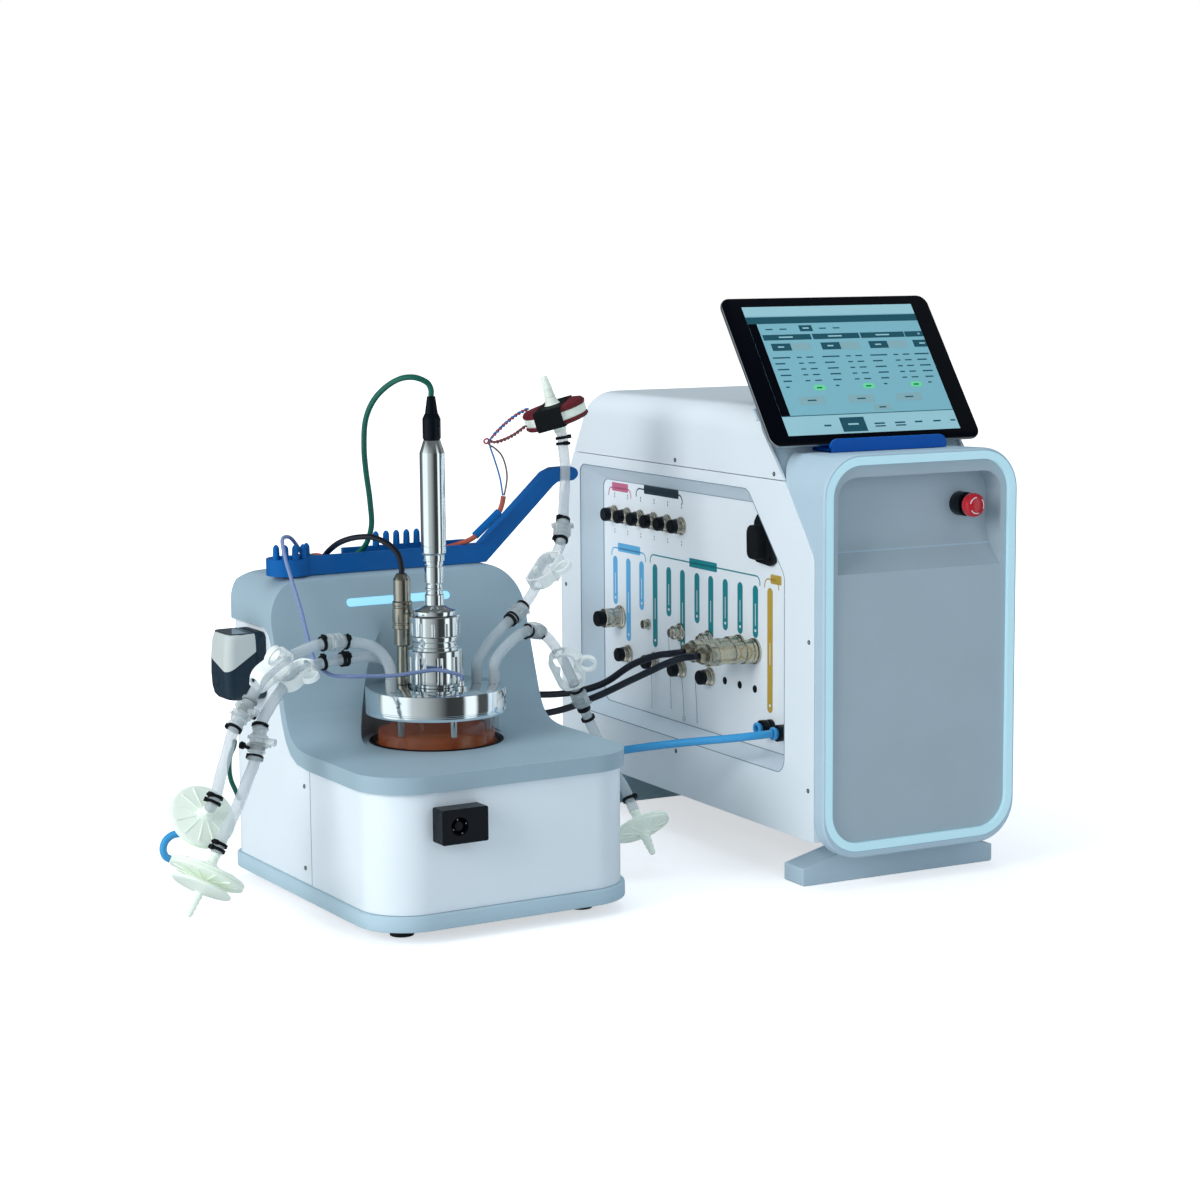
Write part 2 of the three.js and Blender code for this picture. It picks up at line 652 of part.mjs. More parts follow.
const armNotch = rod(325, TRAY_FRONT, 360, 400, TUBE_R + 0.7, 16);
const tray = cut(join(trayFloor, trayFront, trayBack, pod, arm, ...combTeeth), armNotch);
place(station, 'cable_tray', tray, MAT.blue);

// ---------------------------------------------------------------- peristaltic pump
const PUMP_Y = WALL_FOOT_Y + 49;
const PUMP_D = 42;
const PUMP_Z0 = 186;
const PUMP_Z1 = 250;
const pumpSideX = SHELL_INSET - GAP;
const rotorX0 = -30;
const rotorX1 = -12;
const rotorY = PUMP_Y + PUMP_D / 2;
const ROTOR_Z = 214;
const ROLLERS = 3;
const ROLLER_CIRCLE = 9.5;
const CAVITY_R = 16.5;
const bodyPoints = roundRect(PUMP_Y, PUMP_Z0, PUMP_Y + PUMP_D, PUMP_Z1 - 26, [7, 7, 2, 2], 3);
const backPoints = roundRect(PUMP_Y, PUMP_Z0, PUMP_Y + PUMP_D, PUMP_Z1, [7, 7, 5, 5], 3);
const cavityX0 = rotorX0 - 0.8;
const cavityX1 = rotorX1 + 1;
const pumpCavity = rodX(cavityX0, cavityX1, rotorY, ROTOR_Z, CAVITY_R, 24);
const cavityMouth = box(cavityX0, cavityX1, rotorY - CAVITY_R, rotorY + CAVITY_R, ROTOR_Z, PUMP_Z1 + 5);
const pumpBody = cut(
  join(extrudeX(bodyPoints, -36, -8), extrudeX(backPoints, -8.5, pumpSideX)),
  pumpCavity,
  cavityMouth,
  box(-36.5, -34, PUMP_Y - 1, PUMP_Y + 4, PUMP_Z0 + 8, PUMP_Z0 + 22),
);
place(station, 'pump_body', pumpBody, MAT.pumpGrey);
const coverOuter = roundRect(PUMP_Y, PUMP_Z1 - 25.5, PUMP_Y + PUMP_D, PUMP_Z1, [1, 1, 6, 6], 3);
const coverVoid = box(rotorX0 - 1, -5, PUMP_Y + 4, PUMP_Y + PUMP_D - 4, PUMP_Z1 - 30, PUMP_Z1 - 4);
const pumpCover = cut(extrudeX(coverOuter, -36, -8.8), coverVoid);
place(station, 'pump_cover', pumpCover, MAT.cream);
const rollers = [];
for (let i = 0; i < ROLLERS; i += 1) {
  const a = (2 * Math.PI * i) / ROLLERS + 0.4;
  const y = rotorY + ROLLER_CIRCLE * Math.cos(a);
  const z = ROTOR_Z + ROLLER_CIRCLE * Math.sin(a);
  rollers.push(rodX(rotorX0 + 1, rotorX1 - 1, y, z, 4.2, 8));
}
const rotor = join(rodX(rotorX0, rotorX1, rotorY, ROTOR_Z, 7.5, 14), ...rollers);
place(station, 'pump_rotor', rotor, MAT.satin);

// ---------------------------------------------------------------- control tower
// side outline of the housing as (y, z)
const slopeShifted = (d) => SLOPE.map(([y, z]) => [y + d, z]);
const housingSide = [
  [BODY_FRONT, BODY_BOTTOM],
  [BODY_FRONT, SLOPE[0][1] - 6],
  ...SLOPE,
  [135, ROOF_Z],
  [450, ROOF_Z],
  [460, ROOF_Z - 3],
  [467, ROOF_Z - 11],
  [529, 338],
  [BODY_REAR - 1, 329],
  [BODY_REAR, 318],
  [BODY_REAR, 78],
  [527, 56],
  [505, BODY_BOTTOM],
];
const roofRound = [0, 0, ROOF_R, ROOF_R];
const housingFront = roundRect(BODY_X0, BODY_BOTTOM - 5, BODY_X1, ROOF_Z, roofRound, 6);
const housing = common(extrudeX(housingSide, BODY_X0, BODY_X1), extrudeY(housingFront, -FAR, FAR));
// the opening in the left side, as (y, z); s is a margin inwards
const recessOutline = (s) => [
  [487.7 - s, 115 + s],
  [487.7 - s, 361 - s],
  [485 - s, 368 - s],
  [478 - s, 371.6 - s],
  [141 + s * 0.4, 371.6 - s],
  [132 + s * 0.5, 367 - s],
  [74 + s, 301],
  [68 + s, 290],
  [68 + s, 120 + s],
  [71 + s, 109 + s],
  [82 + s, 103 + s],
  [476 - s, 103 + s],
  [484 - s, 107 + s],
];
const plateX0 = BODY_X0 + RECESS_DEPTH;
const plateX1 = plateX0 + PLATE_T;
const recess = extrudeX(recessOutline(0), -FAR, FAR);
const ringOuter = (s) => roundRect(s, RING_Z0 + s, RING_W - s, RING_Z1 - s, RING_R - s, 5);
const fieldBack = PANEL_SET + UPPER_SET + 4;
const panelPocket = extrudeY(ringOuter(-1.5), 0, fieldBack + 1);
// the grey slope lies in a shallow pocket between the two side panels
const slopeBand = (d0, d1) => [
  ...slopeShifted(d0),
  ...[...slopeShifted(d1)].reverse(),
];
const slopePocket = extrudeX(slopeBand(-20, SLOPE_SET + SLOPE_T + GAP), 0, RING_W);
const upperHalf = box(-FAR, FAR, -FAR, FAR, SEAM_Z, FAR);
const lowerHalf = box(-FAR, FAR, -FAR, FAR, 0, SEAM_Z - SEAM_GAP);
const lowerHousing = cut(common(housing, lowerHalf), panelPocket, slopePocket);
const sideSlab = box(-FAR, plateX1, -FAR, FAR, -FAR, FAR);
const coreSlab = box(plateX1 + GAP, FAR, -FAR, FAR, -FAR, FAR);
place(tower, 'tower_side_panel', cut(common(lowerHousing, sideSlab), recess), MAT.white);
place(tower, 'tower_body', common(lowerHousing, coreSlab), MAT.white);
place(tower, 'tower_roof', cut(common(housing, upperHalf), slopePocket), MAT.white);

// bezel: a rounded frame swept back to the side panels, with the grey slope behind it
const bezelSide = [
  [0.2, BEZEL_BOTTOM],
  [0.2, BEZEL_TOP],
  [50, BEZEL_TOP - 2.5],
  [55, 409],
  [90 - GAP, 408.2],
  [73 - GAP, 388],
  [39.3 - GAP, 346],
  [18 - GAP, 318],
  [BODY_FRONT - GAP, 312],
  [BODY_FRONT - GAP, BEZEL_BOTTOM],
];
const bezelOutline = (s) => {
  const r = RING_R + BEZEL_OUT - s;
  const x0 = s - BEZEL_OUT;
  return roundRect(x0, BEZEL_BOTTOM + s, RING_W - x0, BEZEL_TOP - s, [r, r, r, r], 5);
};
const bezelSweep = join(
  extrudeY(bezelOutline(1.5), 0.2, 4),
  extrudeY(bezelOutline(0.6), 1, 6),
  extrudeY(bezelOutline(0), 2.2, 100),
);
const slopeSheet = extrudeX(slopeBand(SLOPE_SET, SLOPE_SET + SLOPE_T), 1, RING_W - 1);
const slopeFoot = extrudeX(
  [[35, 340], [37, 350], [43, 356], [53, 356], [44, 344], [40, 338]],
  1,
  RING_W - 1,
);
const bezelBody = join(common(bezelSweep, extrudeX(bezelSide, -FAR, FAR)), slopeSheet, slopeFoot);
place(tower, 'tower_bezel', cut(bezelBody, extrudeY(ringOuter(-GAP), -5, fieldBack + 2)), MAT.towerGrey);
const ringSolid = cut(extrudeY(ringOuter(0), 0, 6), extrudeY(ringOuter(RING_BAND), -1, 7));
place(tower, 'tower_light_ring', ringSolid, MAT.light);
const innerX0 = RING_BAND + 7;
const innerX1 = RING_W - RING_BAND - 7;
const panelSolid = extrudeY(ringOuter(RING_BAND + GAP), PANEL_SET, BODY_FRONT - 1);
const upperBox = extrudeY(
  roundRect(innerX0 - 4, 296, innerX1 + 4, 397, 12, 4),
  PANEL_SET + 4,
  fieldBack,
);
const cove = [
  [PANEL_SET - 2, 300],
  [PANEL_SET + 0.01, 300],
  [PANEL_SET + 4, 303],
  [PANEL_SET + 12, 311],
  [PANEL_SET + 19, 321],
  [PANEL_SET + 23, 332],
  [PANEL_SET + UPPER_SET, 343],
  [PANEL_SET + UPPER_SET, 392],
  [PANEL_SET - 2, 392],
];
const coveFront = roundRect(innerX0, 290, innerX1, 390, [0, 0, 20, 20], 5);
const coveCut = common(extrudeX(cove, innerX0, innerX1), extrudeY(coveFront, -5, 60));
const estopBore = rodY(10, 60, ESTOP_X, ESTOP_Z, 8, 20);

// the stop button's collar is part of the panel; its mushroom slides in it on a stem
const fieldY = PANEL_SET + UPPER_SET;
const COLLAR_H = 14;
const COLLAR_BORE = 6;
const collarY0 = fieldY - COLLAR_H;
const collarProfile = [
  [COLLAR_BORE, 0],
  [10.5, 0],
  [11.5, 1.2],
  [11.5, COLLAR_H + 1],
  [COLLAR_BORE, COLLAR_H + 1],
  [COLLAR_BORE, 0],
];
const collar = turned(collarProfile, 16).rotateX(-Math.PI / 2).translate(ESTOP_X, collarY0, ESTOP_Z);
const panelBody = join(cut(join(panelSolid, upperBox), coveCut, estopBore), collar);
place(tower, 'tower_front_panel', panelBody, MAT.towerGrey);

const MUSHROOM_H = 11;
const mushroomY = collarY0 - ESTOP_TRAVEL - 1.2 - MUSHROOM_H;
const mushroomProfile = [
  [0, 0],
  [7, 0.4],
  [10.2, 2],
  [11.4, 4.5],
  [11.4, 9.5],
  [10.4, MUSHROOM_H],
  [5.4, MUSHROOM_H],
  [5.4, MUSHROOM_H + 15],
  [0, MUSHROOM_H + 15],
];
const mushroom = turned(mushroomProfile, 16).rotateX(-Math.PI / 2);
place(tower, 'estop_button', mushroom.translate(ESTOP_X, mushroomY, ESTOP_Z), MAT.red);

// connector plate with the bulkhead sockets and their caps
const plateBody = extrudeX(recessOutline(GAP), plateX0, plateX1);
const column = (k) => FIELD_Y + PITCH * k;
const socketWithCap = (y, z, r, length) => {
  const x = plateX0;
  return join(
    rodX(x - length * 0.4, x + 1, y, z, r + 2.4, 6),
    rodX(x - length, x, y, z, r, 8),
  );
};
const sockets = [];
for (let k = 5; k <= 10; k += 1) sockets.push(socketWithCap(column(k), ROW_Z[0], 7.4, 15));
sockets.push(socketWithCap(449, ROW_Z[1], 10.5, 30));
sockets.push(rodX(plateX0 - 8, plateX0 + 1, 386, ROW_Z[1], 5, 8));
[5, 3].forEach((k) => sockets.push(socketWithCap(column(k) + 3, ROW_Z[1], 7.2, 14)));
[3, 5, 7, 9].forEach((k) => sockets.push(socketWithCap(column(k), ROW_Z[2], 7.6, 15)));
const flangeX = plateX0 - 2.5;
[0, 1].forEach((k) => sockets.push(rodX(flangeX, plateX0 + 1, column(k), ROW_Z[1], 13, 12)));
const GAS_PORTS = [[137, 135], [107, 135]];
GAS_PORTS.forEach(([y, z]) => {
  sockets.push(rodX(plateX0 - 13, plateX0 + 1, y, z, 8.2, 8));
  sockets.push(rodX(plateX0 - 18, plateX0 - 12, y, z, 6.4, 8));
});
const smallHoles = [0, 1, 2].map((k) => rodX(plateX0 - 1, plateX1 + 1, column(k), ROW_Z[2], 3, 6));
place(tower, 'connector_plate', cut(join(plateBody, ...sockets), ...smallHoles), MAT.white);

// cable plugs on the two large sockets
const PLUG_LEN = 62;
const plugProfile = [
  [0, 0],
  [12, 0],
  [12, 12],
  [10.4, 13],
  [10.4, 38],
  [11.2, 39],
  [11.2, 52],
  [6.5, PLUG_LEN],
  [0, PLUG_LEN],
];
[0, 1].forEach((k, i) => {
  const plug = turned(plugProfile, 12).rotateY(-Math.PI / 2);
  plug.translate(flangeX - GAP, column(k), ROW_Z[1]);
  place(tower, `power_plug_${i + 1}`, plug, MAT.nickel);
});

// rubber cover over the data socket
const coverPoints = [
  [128, 300],
  [134, 295],
  [158, 297],
  [164, 303],
  [163, 335],
  [158, 343],
  [146, 344],
  [138, 336],
];
const coverHump = extrudeX(roundRect(139, 301, 161, 334, 6, 3), plateX0 - 15, plateX0 - 4);
const loopHole = extrudeX(roundRect(146, 336, 156, 341, 2, 2), -10, 30);
const coverSheet = extrudeX(coverPoints, plateX0 - 5, plateX0 - GAP);
place(tower, 'port_cover', cut(join(coverSheet, coverHump), loopHole), MAT.rubber);

// feet: wide at the bench, narrow under the housing
const footSide = [
  [-2.4, 1.5],
  [-1, 0],
  [RING_W + 1, 0],
  [RING_W + 2.4, 1.5],
  [RING_W + 2.4, 17],
  [RING_W - 48, 30],
  [RING_W - 56, 36],
  [RING_W - 56, BODY_BOTTOM - GAP],
  [56, BODY_BOTTOM - GAP],
  [56, 36],
  [48, 30],
  [-2.4, 17],
];
const FOOT_T = 34;
const frontFootY = BODY_FRONT + 19;
const rearFootY = BODY_REAR - 79;
place(tower, 'tower_front_foot', extrudeY(footSide, frontFootY, frontFootY + FOOT_T), MAT.towerGrey);
place(tower, 'tower_rear_foot', extrudeY(footSide, rearFootY, rearFootY + FOOT_T), MAT.pumpGrey);

// tablet: X across, Y up the screen, the screen faces +Z of its own group
const tablet = new THREE.Group();
tablet.position.set(TABLET_X, TABLET_Y, TABLET_Z);
tablet.rotation.x = Math.PI / 2 - TABLET_LEAN;
tower.add(tablet);
const tabletBody = join(
  extrudeZ(roundRect(1, 1, TABLET_W - 1, TABLET_H - 1, 10, 3), -1, 0.6),
  extrudeZ(roundRect(0, 0, TABLET_W, TABLET_H, 11, 3), -3, 0),
  extrudeZ(roundRect(1.6, 1.6, TABLET_W - 1.6, TABLET_H - 1.6, 10, 3), -5.6, -2.9),
  extrudeZ(roundRect(5, 5, TABLET_W - 5, TABLET_H - 5, 8, 3), -TABLET_T, -5.5),
);
place(tablet, 'tablet', tabletBody, MAT.black);
// the rest: a ledge on the bezel with a lip in front and a plate behind the tablet
const restSide = [
  [57, 409.4],
  [57, 420.5],
  [58, 422],
  [60.2, 422],
  [60.2, 411],
  [78.6, 410.7],
  [79.9, 411.4],
  [115.2, 459.8],
  [118, 457.8],
  [89.4, 414],
  [89.4, 409.4],
];
const restHalf = 66;
const restX = RING_W / 2;
const restFront = roundRect(restX - restHalf, 400, restX + restHalf, 470, [0, 0, 8, 8], 4);
const lipRound = extrudeY(roundRect(restX - restHalf, 400, restX + restHalf, 422, [0, 0, 8, 8], 4), 50, 64);
const restBack = extrudeY(restFront, 64, 130);
const restBody = common(extrudeX(restSide, restX - restHalf, restX + restHalf), join(lipRound, restBack));
place(tower, 'tablet_rest', restBody, MAT.blue);

// ---------------------------------------------------------------- hoses, leads and what they carry
// Every route is a list of points in the station's frame. Hoses start on the lid's stubs.
const STUB_TOP = LID_TOP + STUB_H + GAP;
const HOSE_D = 2 * TUBE_R;
const hoseLeft1 = [
  [...LID_STUBS[0], STUB_TOP],
  [...LID_STUBS[0], STUB_TOP + 6],
  [79, 146.5, 232],
  [66, 148, 244],
  [45, 148, 249],
  [18, 144, 251],
  [-6, 140, 247],
  [-25, 135, 241],
  [-46, 129, 230],
  [-59, 124, 218],
  [-74, 117, 199],
  [-86, 112, 186],
  [-96, 103, 168],
  [-103, 101, 151],
  [-110.5, 95.5, 134],
  [-114.3, 94.4, 127.2],
  [-114.9, 99.1, 123.5],
];
const hoseLeft2 = [
  [...LID_STUBS[1], STUB_TOP],
  [...LID_STUBS[1], STUB_TOP + 5],
  [87.5, 161, 226],
  [74, 159, 232],
  [52, 157, 233],
  [20, 154, 231.5],
  [-2, 150, 227],
  [-18, 144, 219],
  [-34, 136, 208],
  [-46, 128, 198],
  [-56, 121, 187],
  [-65, 113, 160],
  [-79, 100, 143],
  [-94, 88, 123.5],
  [-110, 83, 99.5],
  [-118, 80, 87],
];
const hoseRight1 = [
  [...LID_STUBS[2], STUB_TOP],
  [...LID_STUBS[2], STUB_TOP + 5],
  [181.5, 154, 225],
  [195, 159, 237],
  [214, 166, 249],
  [233, 173, 260],
  [250, 182, 271],
  [267, 192, 286],
  [286, 203, 301],
  [302, 214, 315],
  [312, 226, 332],
  [320, 237, 352],
  [324.5, 242.6, 372],
  [325, 243, 392],
  [325, 246, 410],
  [324.8, 247, 418],
  [323.3, 247.4, 423],
];
const hoseRight2 = [
  [...LID_STUBS[3], STUB_TOP],
  [...LID_STUBS[3], STUB_TOP + 5],
  [193, 140.5, 225],
  [208, 146, 235],
  [228, 154, 243],
  [248, 163, 241],
  [266, 172, 230],
  [282, 179, 212],
  [300, 186, 184],
  [316, 191, 152],
  [327, 190, 128],
  [333, 184, 111],
  [336, 170, 94],
  [337.4, 153, 80],
  [338, 140, 65],
  [338.4, 136.5, 60.5],
];
const stepsFor = (points, diameter) => {
  const path = new THREE.CatmullRomCurve3(points.map((p) => new THREE.Vector3(...p)));
  return Math.round(path.getLength() / (2.9 * diameter));
};
const hoses = { left_1: hoseLeft1, left_2: hoseLeft2, right_1: hoseRight1, right_2: hoseRight2 };
Object.entries(hoses).forEach(([key, points]) => {
  place(station, `hose_${key}`, tube(points, HOSE_D, stepsFor(points, HOSE_D)), MAT.clear);
});
const clearOf = (points) => tube(points, HOSE_D + 1.4, stepsFor(points, HOSE_D));

// the point at a distance from a on the way to b
const alongFrom = (a, b, distance) => {
  const dir = new THREE.Vector3(...b).sub(new THREE.Vector3(...a)).normalize();
  return new THREE.Vector3(...a).addScaledVector(dir, distance).toArray();
};
const couplingProfile = [
  [0, 0],
  [8, 0],
  [8, 7],
  [10.5, 8],
  [10.5, 22],
  [8, 23],
  [8, 30],
  [0, 30],
];
const couplingOn = (a, b, route) => cut(turnedAlong(couplingProfile, a, b, 10), clearOf(route));
place(station, 'coupling_left_a', couplingOn([-65, 121.3, 211], [-85, 113, 188], hoseLeft1), MAT.clear);
place(station, 'coupling_left_b', couplingOn([-56.5, 120.6, 185], [-65, 113.5, 161], hoseLeft2), MAT.clear);

// pinch clamp: a one-piece plastic loop with the hose running through both its ends
const CLAMP_LENGTH = 44;
const CLAMP_WIDTH = 27;
const CLAMP_BAND = 12;
const CLAMP_WALL = 2.6;
const FINGER_R = 9;              // finger ring outside the loop
const FINGER_BAND = 2.4;
const clampLoop = (inset) => {
  const y = CLAMP_WIDTH / 2 - inset;
  const z = CLAMP_LENGTH / 2 - inset;
  return [
    [-y, 10 - z],
    [-y + 8, -z],
    [y - 8, -z],
    [y, 10 - z],
    [y, z - 10],
    [y - 8, z],
    [-y + 8, z],
    [-y, z - 10],
  ];
};
const pinchClamp = (centre, along, up, route) => {
  const z = new THREE.Vector3(...along).normalize();
  const y = new THREE.Vector3(...up).addScaledVector(z, -new THREE.Vector3(...up).dot(z)).normalize();
  const x = new THREE.Vector3().crossVectors(y, z);
  const frame = new THREE.Matrix4().makeBasis(x, y, z).setPosition(...centre);
  const band = CLAMP_BAND / 2;
  const loop = cut(
    extrudeX(clampLoop(0), -band, band),
    extrudeX(clampLoop(CLAMP_WALL), -band - 1, band + 1),
  );
  const jawY = TUBE_R + 1;
  const jaws = [-1, 1].map((side) => {
    return extrudeX(
      [
        [side * jawY, -1],
        [side * (CLAMP_WIDTH / 2 - 1), -4],
        [side * (CLAMP_WIDTH / 2 - 1), 4],
        [side * jawY, 1],
      ],
      -band,
      band,
    );
  });
  const latch = box(-band, band, CLAMP_WIDTH / 2 - 1, CLAMP_WIDTH / 2 + 5, -12, -9);
  const fingerY = CLAMP_WIDTH / 2 + FINGER_R - 1.5;
  const finger = cut(
    rodX(-2, 2, fingerY, 0, FINGER_R, 14),
    rodX(-3, 3, fingerY, 0, FINGER_R - FINGER_BAND, 14),
  );
  return cut(join(loop, ...jaws, latch, finger).applyMatrix4(frame), clearOf(route));
};
place(
  station,
  'pinch_clamp_left',
  pinchClamp([-40, 131.2, 233.6], [-21, -6, -11], [0.3, -0.5, 1], hoseLeft1),
  MAT.cream,
);
place(
  station,
  'pinch_clamp_right',
  pinchClamp([277, 197.7, 294], [19, 11, 15], [0.5, -0.6, 0.3], hoseRight1),
  MAT.cream,
);
place(
  station,
  'pinch_clamp_lower',
  pinchClamp([291, 182.6, 198], [18, 7, -28], [0.6, -0.6, 0.3], hoseRight2),
  MAT.cream,
);

// vent filters: two discs welded at the rim, with a barbed stem on each side
const ventFilter = (r, stemIn, stemOut) => [
  [0, 0],
  [4.6, 0],
  [4.6, stemIn],
  [8, stemIn + 3],
  [r - 1.5, stemIn + 6.5],
  [r, stemIn + 8],
  [r, stemIn + 11],
  [r - 1.5, stemIn + 12.5],
  [8, stemIn + 16],
  [5, stemIn + 19],
  [2.6, stemIn + 19 + stemOut],
  [0, stemIn + 19 + stemOut],
];
const filterAt = (name, profile, a, b, material = MAT.filter) => {
  return place(station, name, turnedAlong(profile, a, b, 16), material);
};
const endOf = (route) => route[route.length - 1];
const beyond = (route, distance) => alongFrom(endOf(route), route[route.length - 2], -distance);
const straightOn = (route) => [beyond(route, GAP), beyond(route, 40)];
filterAt('filter_left_a', ventFilter(30, 8, 12), ...straightOn(hoseLeft1));
filterAt('filter_left_b', ventFilter(34, 10, 30), ...straightOn(hoseLeft2));
filterAt('filter_right', ventFilter(28, 8, 20), ...straightOn(hoseRight2));
const wrappedFilter = [
  [0, 0],
  [6, 0],
  [6, 5],
  [14, 9],
  [30, 8],
  [32, 10],
  [32, 26],
  [30, 28],
  [14, 27],
  [7, 32],
  [3, 56],
  [0, 57],
];
filterAt('filter_heated', wrappedFilter, ...straightOn(hoseRight1), MAT.wrap);

// leads: each runs from its plug into the tray and down the back to a gland on the rear shell
const glandFace = shellBack + GLAND_OUT + GAP;
const leadEnd = (x) => [
  [x, 368, 258],
  [x, 364, 243],
  [x, 356, 233],
  [x, glandFace + 3, LEAD_Z],
  [x, glandFace, LEAD_Z],
];
const overHead = (x) => [
  [x, 302, 309],
  [x, 322, 308.5],
  [x, 342, 304],
  [x, 358, 292],
  [x, 366.5, 275],
];
const sensorLead = [
  [SENSOR_X, SENSOR_Y, SENSOR_TOP + GAP],
  [SENSOR_X, SENSOR_Y, SENSOR_TOP + 6],
  [112.6, 184.6, 321],
  [108, 190.5, 329],
  [102, 198, 334],
  [96, 207, 336.7],
  [91, 216, 336.4],
  [84, 228, 334],
  [77.5, 240, 329],
  [73.5, 253, 321],
  [73, 268, 312],
  [73, 285, 308.6],
  ...overHead(LEAD_X[1]),
  ...leadEnd(LEAD_X[1]),
];
const probeLead = [
  [VX, VY, BOOT_TOP + GAP],
  [VX, VY, BOOT_TOP + 6],
  [130.5, 153.7, 481],
  [121, 157, 486],
  [112, 165, 486],
  [104, 178, 480],
  [96.5, 195, 466],
  [95, 212, 446],
  [98.9, 225, 419],
  [105, 235, 397],
  [113, 244, 366],
  [117, 251, 340],
  [113, 261, 320],
  [103, 273, 310.5],
  [89, 288, 308.6],
  ...overHead(LEAD_X[2]),
  ...leadEnd(LEAD_X[2]),
];
const heaterLead = [
  [289.4, 247, 447],
  [283, 246, 446],
  [272, 244, 443],
  [259, 242, 438],
  [248, 240, 430],
  [243.5, 238, 420],
  [246.5, 237, 409],
  [251, 236.5, 398],
  [252.4, 236.5, 386],
  [250, 237, 372],
  [244, 238.5, 358],
  [235, 242, 345],
  [224, 252, 333],
  [212, 262, 325.5],
  [200, 268, 316],
  [182, 272, 309.5],
  [150, 277, 308.6],
  [122, 279, 308.6],
  [104, 281.5, 308.6],
  [94, 289, 308.6],
  ...overHead(LEAD_X[3]),
  ...leadEnd(LEAD_X[3]),
];
const sampleTube = [
  [...FRONT_PORT, LID_TOP + 9 + GAP],
  [...FRONT_PORT, LID_TOP + 13],
  [130, 121.5, 218],
  [120, 125, 220],
  [99, 128, 219],
  [79, 129, 218],
  [50, 130, 220],
  [34, 135, 220.5],
  [25, 150, 221],
  [20, 171, 231],
  [20, 186, 250],
  [22, 205, 274],
  [21, 222, 300],
  [19, 232, 322],
  [22, 243, 336],
  [34, 254, 336],
  [48, 266, 324],
  [60, 281, 311],
  ...overHead(LEAD_X[0]),
  ...leadEnd(LEAD_X[0]),
];
const powerFrom = (k) => {
  const local = new THREE.Vector3(flangeX - GAP - PLUG_LEN - GAP, column(k), ROW_Z[1]);
  return local.applyAxisAngle(new THREE.Vector3(0, 0, 1), TOWER_TURN)
    .add(new THREE.Vector3(TOWER_X, TOWER_Y, 0))
    .toArray();
};
const powerLead1 = [
  powerFrom(0),
  [powerFrom(0)[0] - 6, powerFrom(0)[1] + 0.3, ROW_Z[1]],
  [397, 140, 205.5],
  [386, 156, 198],
  [377.5, 175, 188],
  [370, 205, 174],
  [362, 245, 156],
  [346, 300, 134],
  [312, 352, 122],
  [272, 378, 118],
  [246, 379, 118],
  [235, 371, 118],
  [POWER_GLANDS[0][0], glandFace + 6, POWER_GLANDS[0][1]],
  [POWER_GLANDS[0][0], glandFace, POWER_GLANDS[0][1]],
];
const powerLead2 = [
  powerFrom(1),
  [powerFrom(1)[0] - 6, powerFrom(1)[1] + 0.3, ROW_Z[1]],
  [400, 166, 206],
  [392, 180, 203],
  [380, 208, 191],
  [368, 245, 168],
  [352, 296, 152],
  [316, 352, 146],
  [272, 380, 143],
  [238, 383, 141],
  [219, 373, 140],
  [POWER_GLANDS[1][0], glandFace + 6, POWER_GLANDS[1][1]],
  [POWER_GLANDS[1][0], glandFace, POWER_GLANDS[1][1]],
];
const gasFrom = new THREE.Vector3(plateX0 - 18 - GAP, GAS_PORTS[1][0], GAS_PORTS[1][1])
  .applyAxisAngle(new THREE.Vector3(0, 0, 1), TOWER_TURN)
  .add(new THREE.Vector3(TOWER_X, TOWER_Y, 0))
  .toArray();
const gasTube = [
  gasFrom,
  [446, 71.9, 135],
  [434, 76.5, 134],
  [418, 91, 131],
  [400, 113, 127],
  [373, 145, 120.5],
  [352, 176, 113],
  [338, 215, 103],
  [326, 262, 92],
  [308, 318, 82],
  [282, 360, 76],
  [255, 381, 74],
  [237, 376, 74],
  [GAS_GLAND[0], glandFace + 7, GAS_GLAND[1]],
  [GAS_GLAND[0], glandFace, GAS_GLAND[1]],
];
const runs = [
  ['cable_sensor', sensorLead, 5.5, MAT.black],
  ['cable_probe', probeLead, 5.3, MAT.green],
  ['cable_heater', heaterLead, 5, MAT.orange],
  ['tube_sample', sampleTube, 3.6, MAT.violet],
  ['cable_power_1', powerLead1, 7, MAT.black],
  ['cable_power_2', powerLead2, 7, MAT.black],
  ['tube_gas', gasTube, 8, MAT.gasBlue],
];
runs.forEach(([name, points, diameter, material]) => {
  place(station, name, tube(points, diameter, stepsFor(points, diameter)), material);
});

export default object;
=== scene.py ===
import json
import math

import bmesh
import bpy
from mathutils import Matrix, Vector

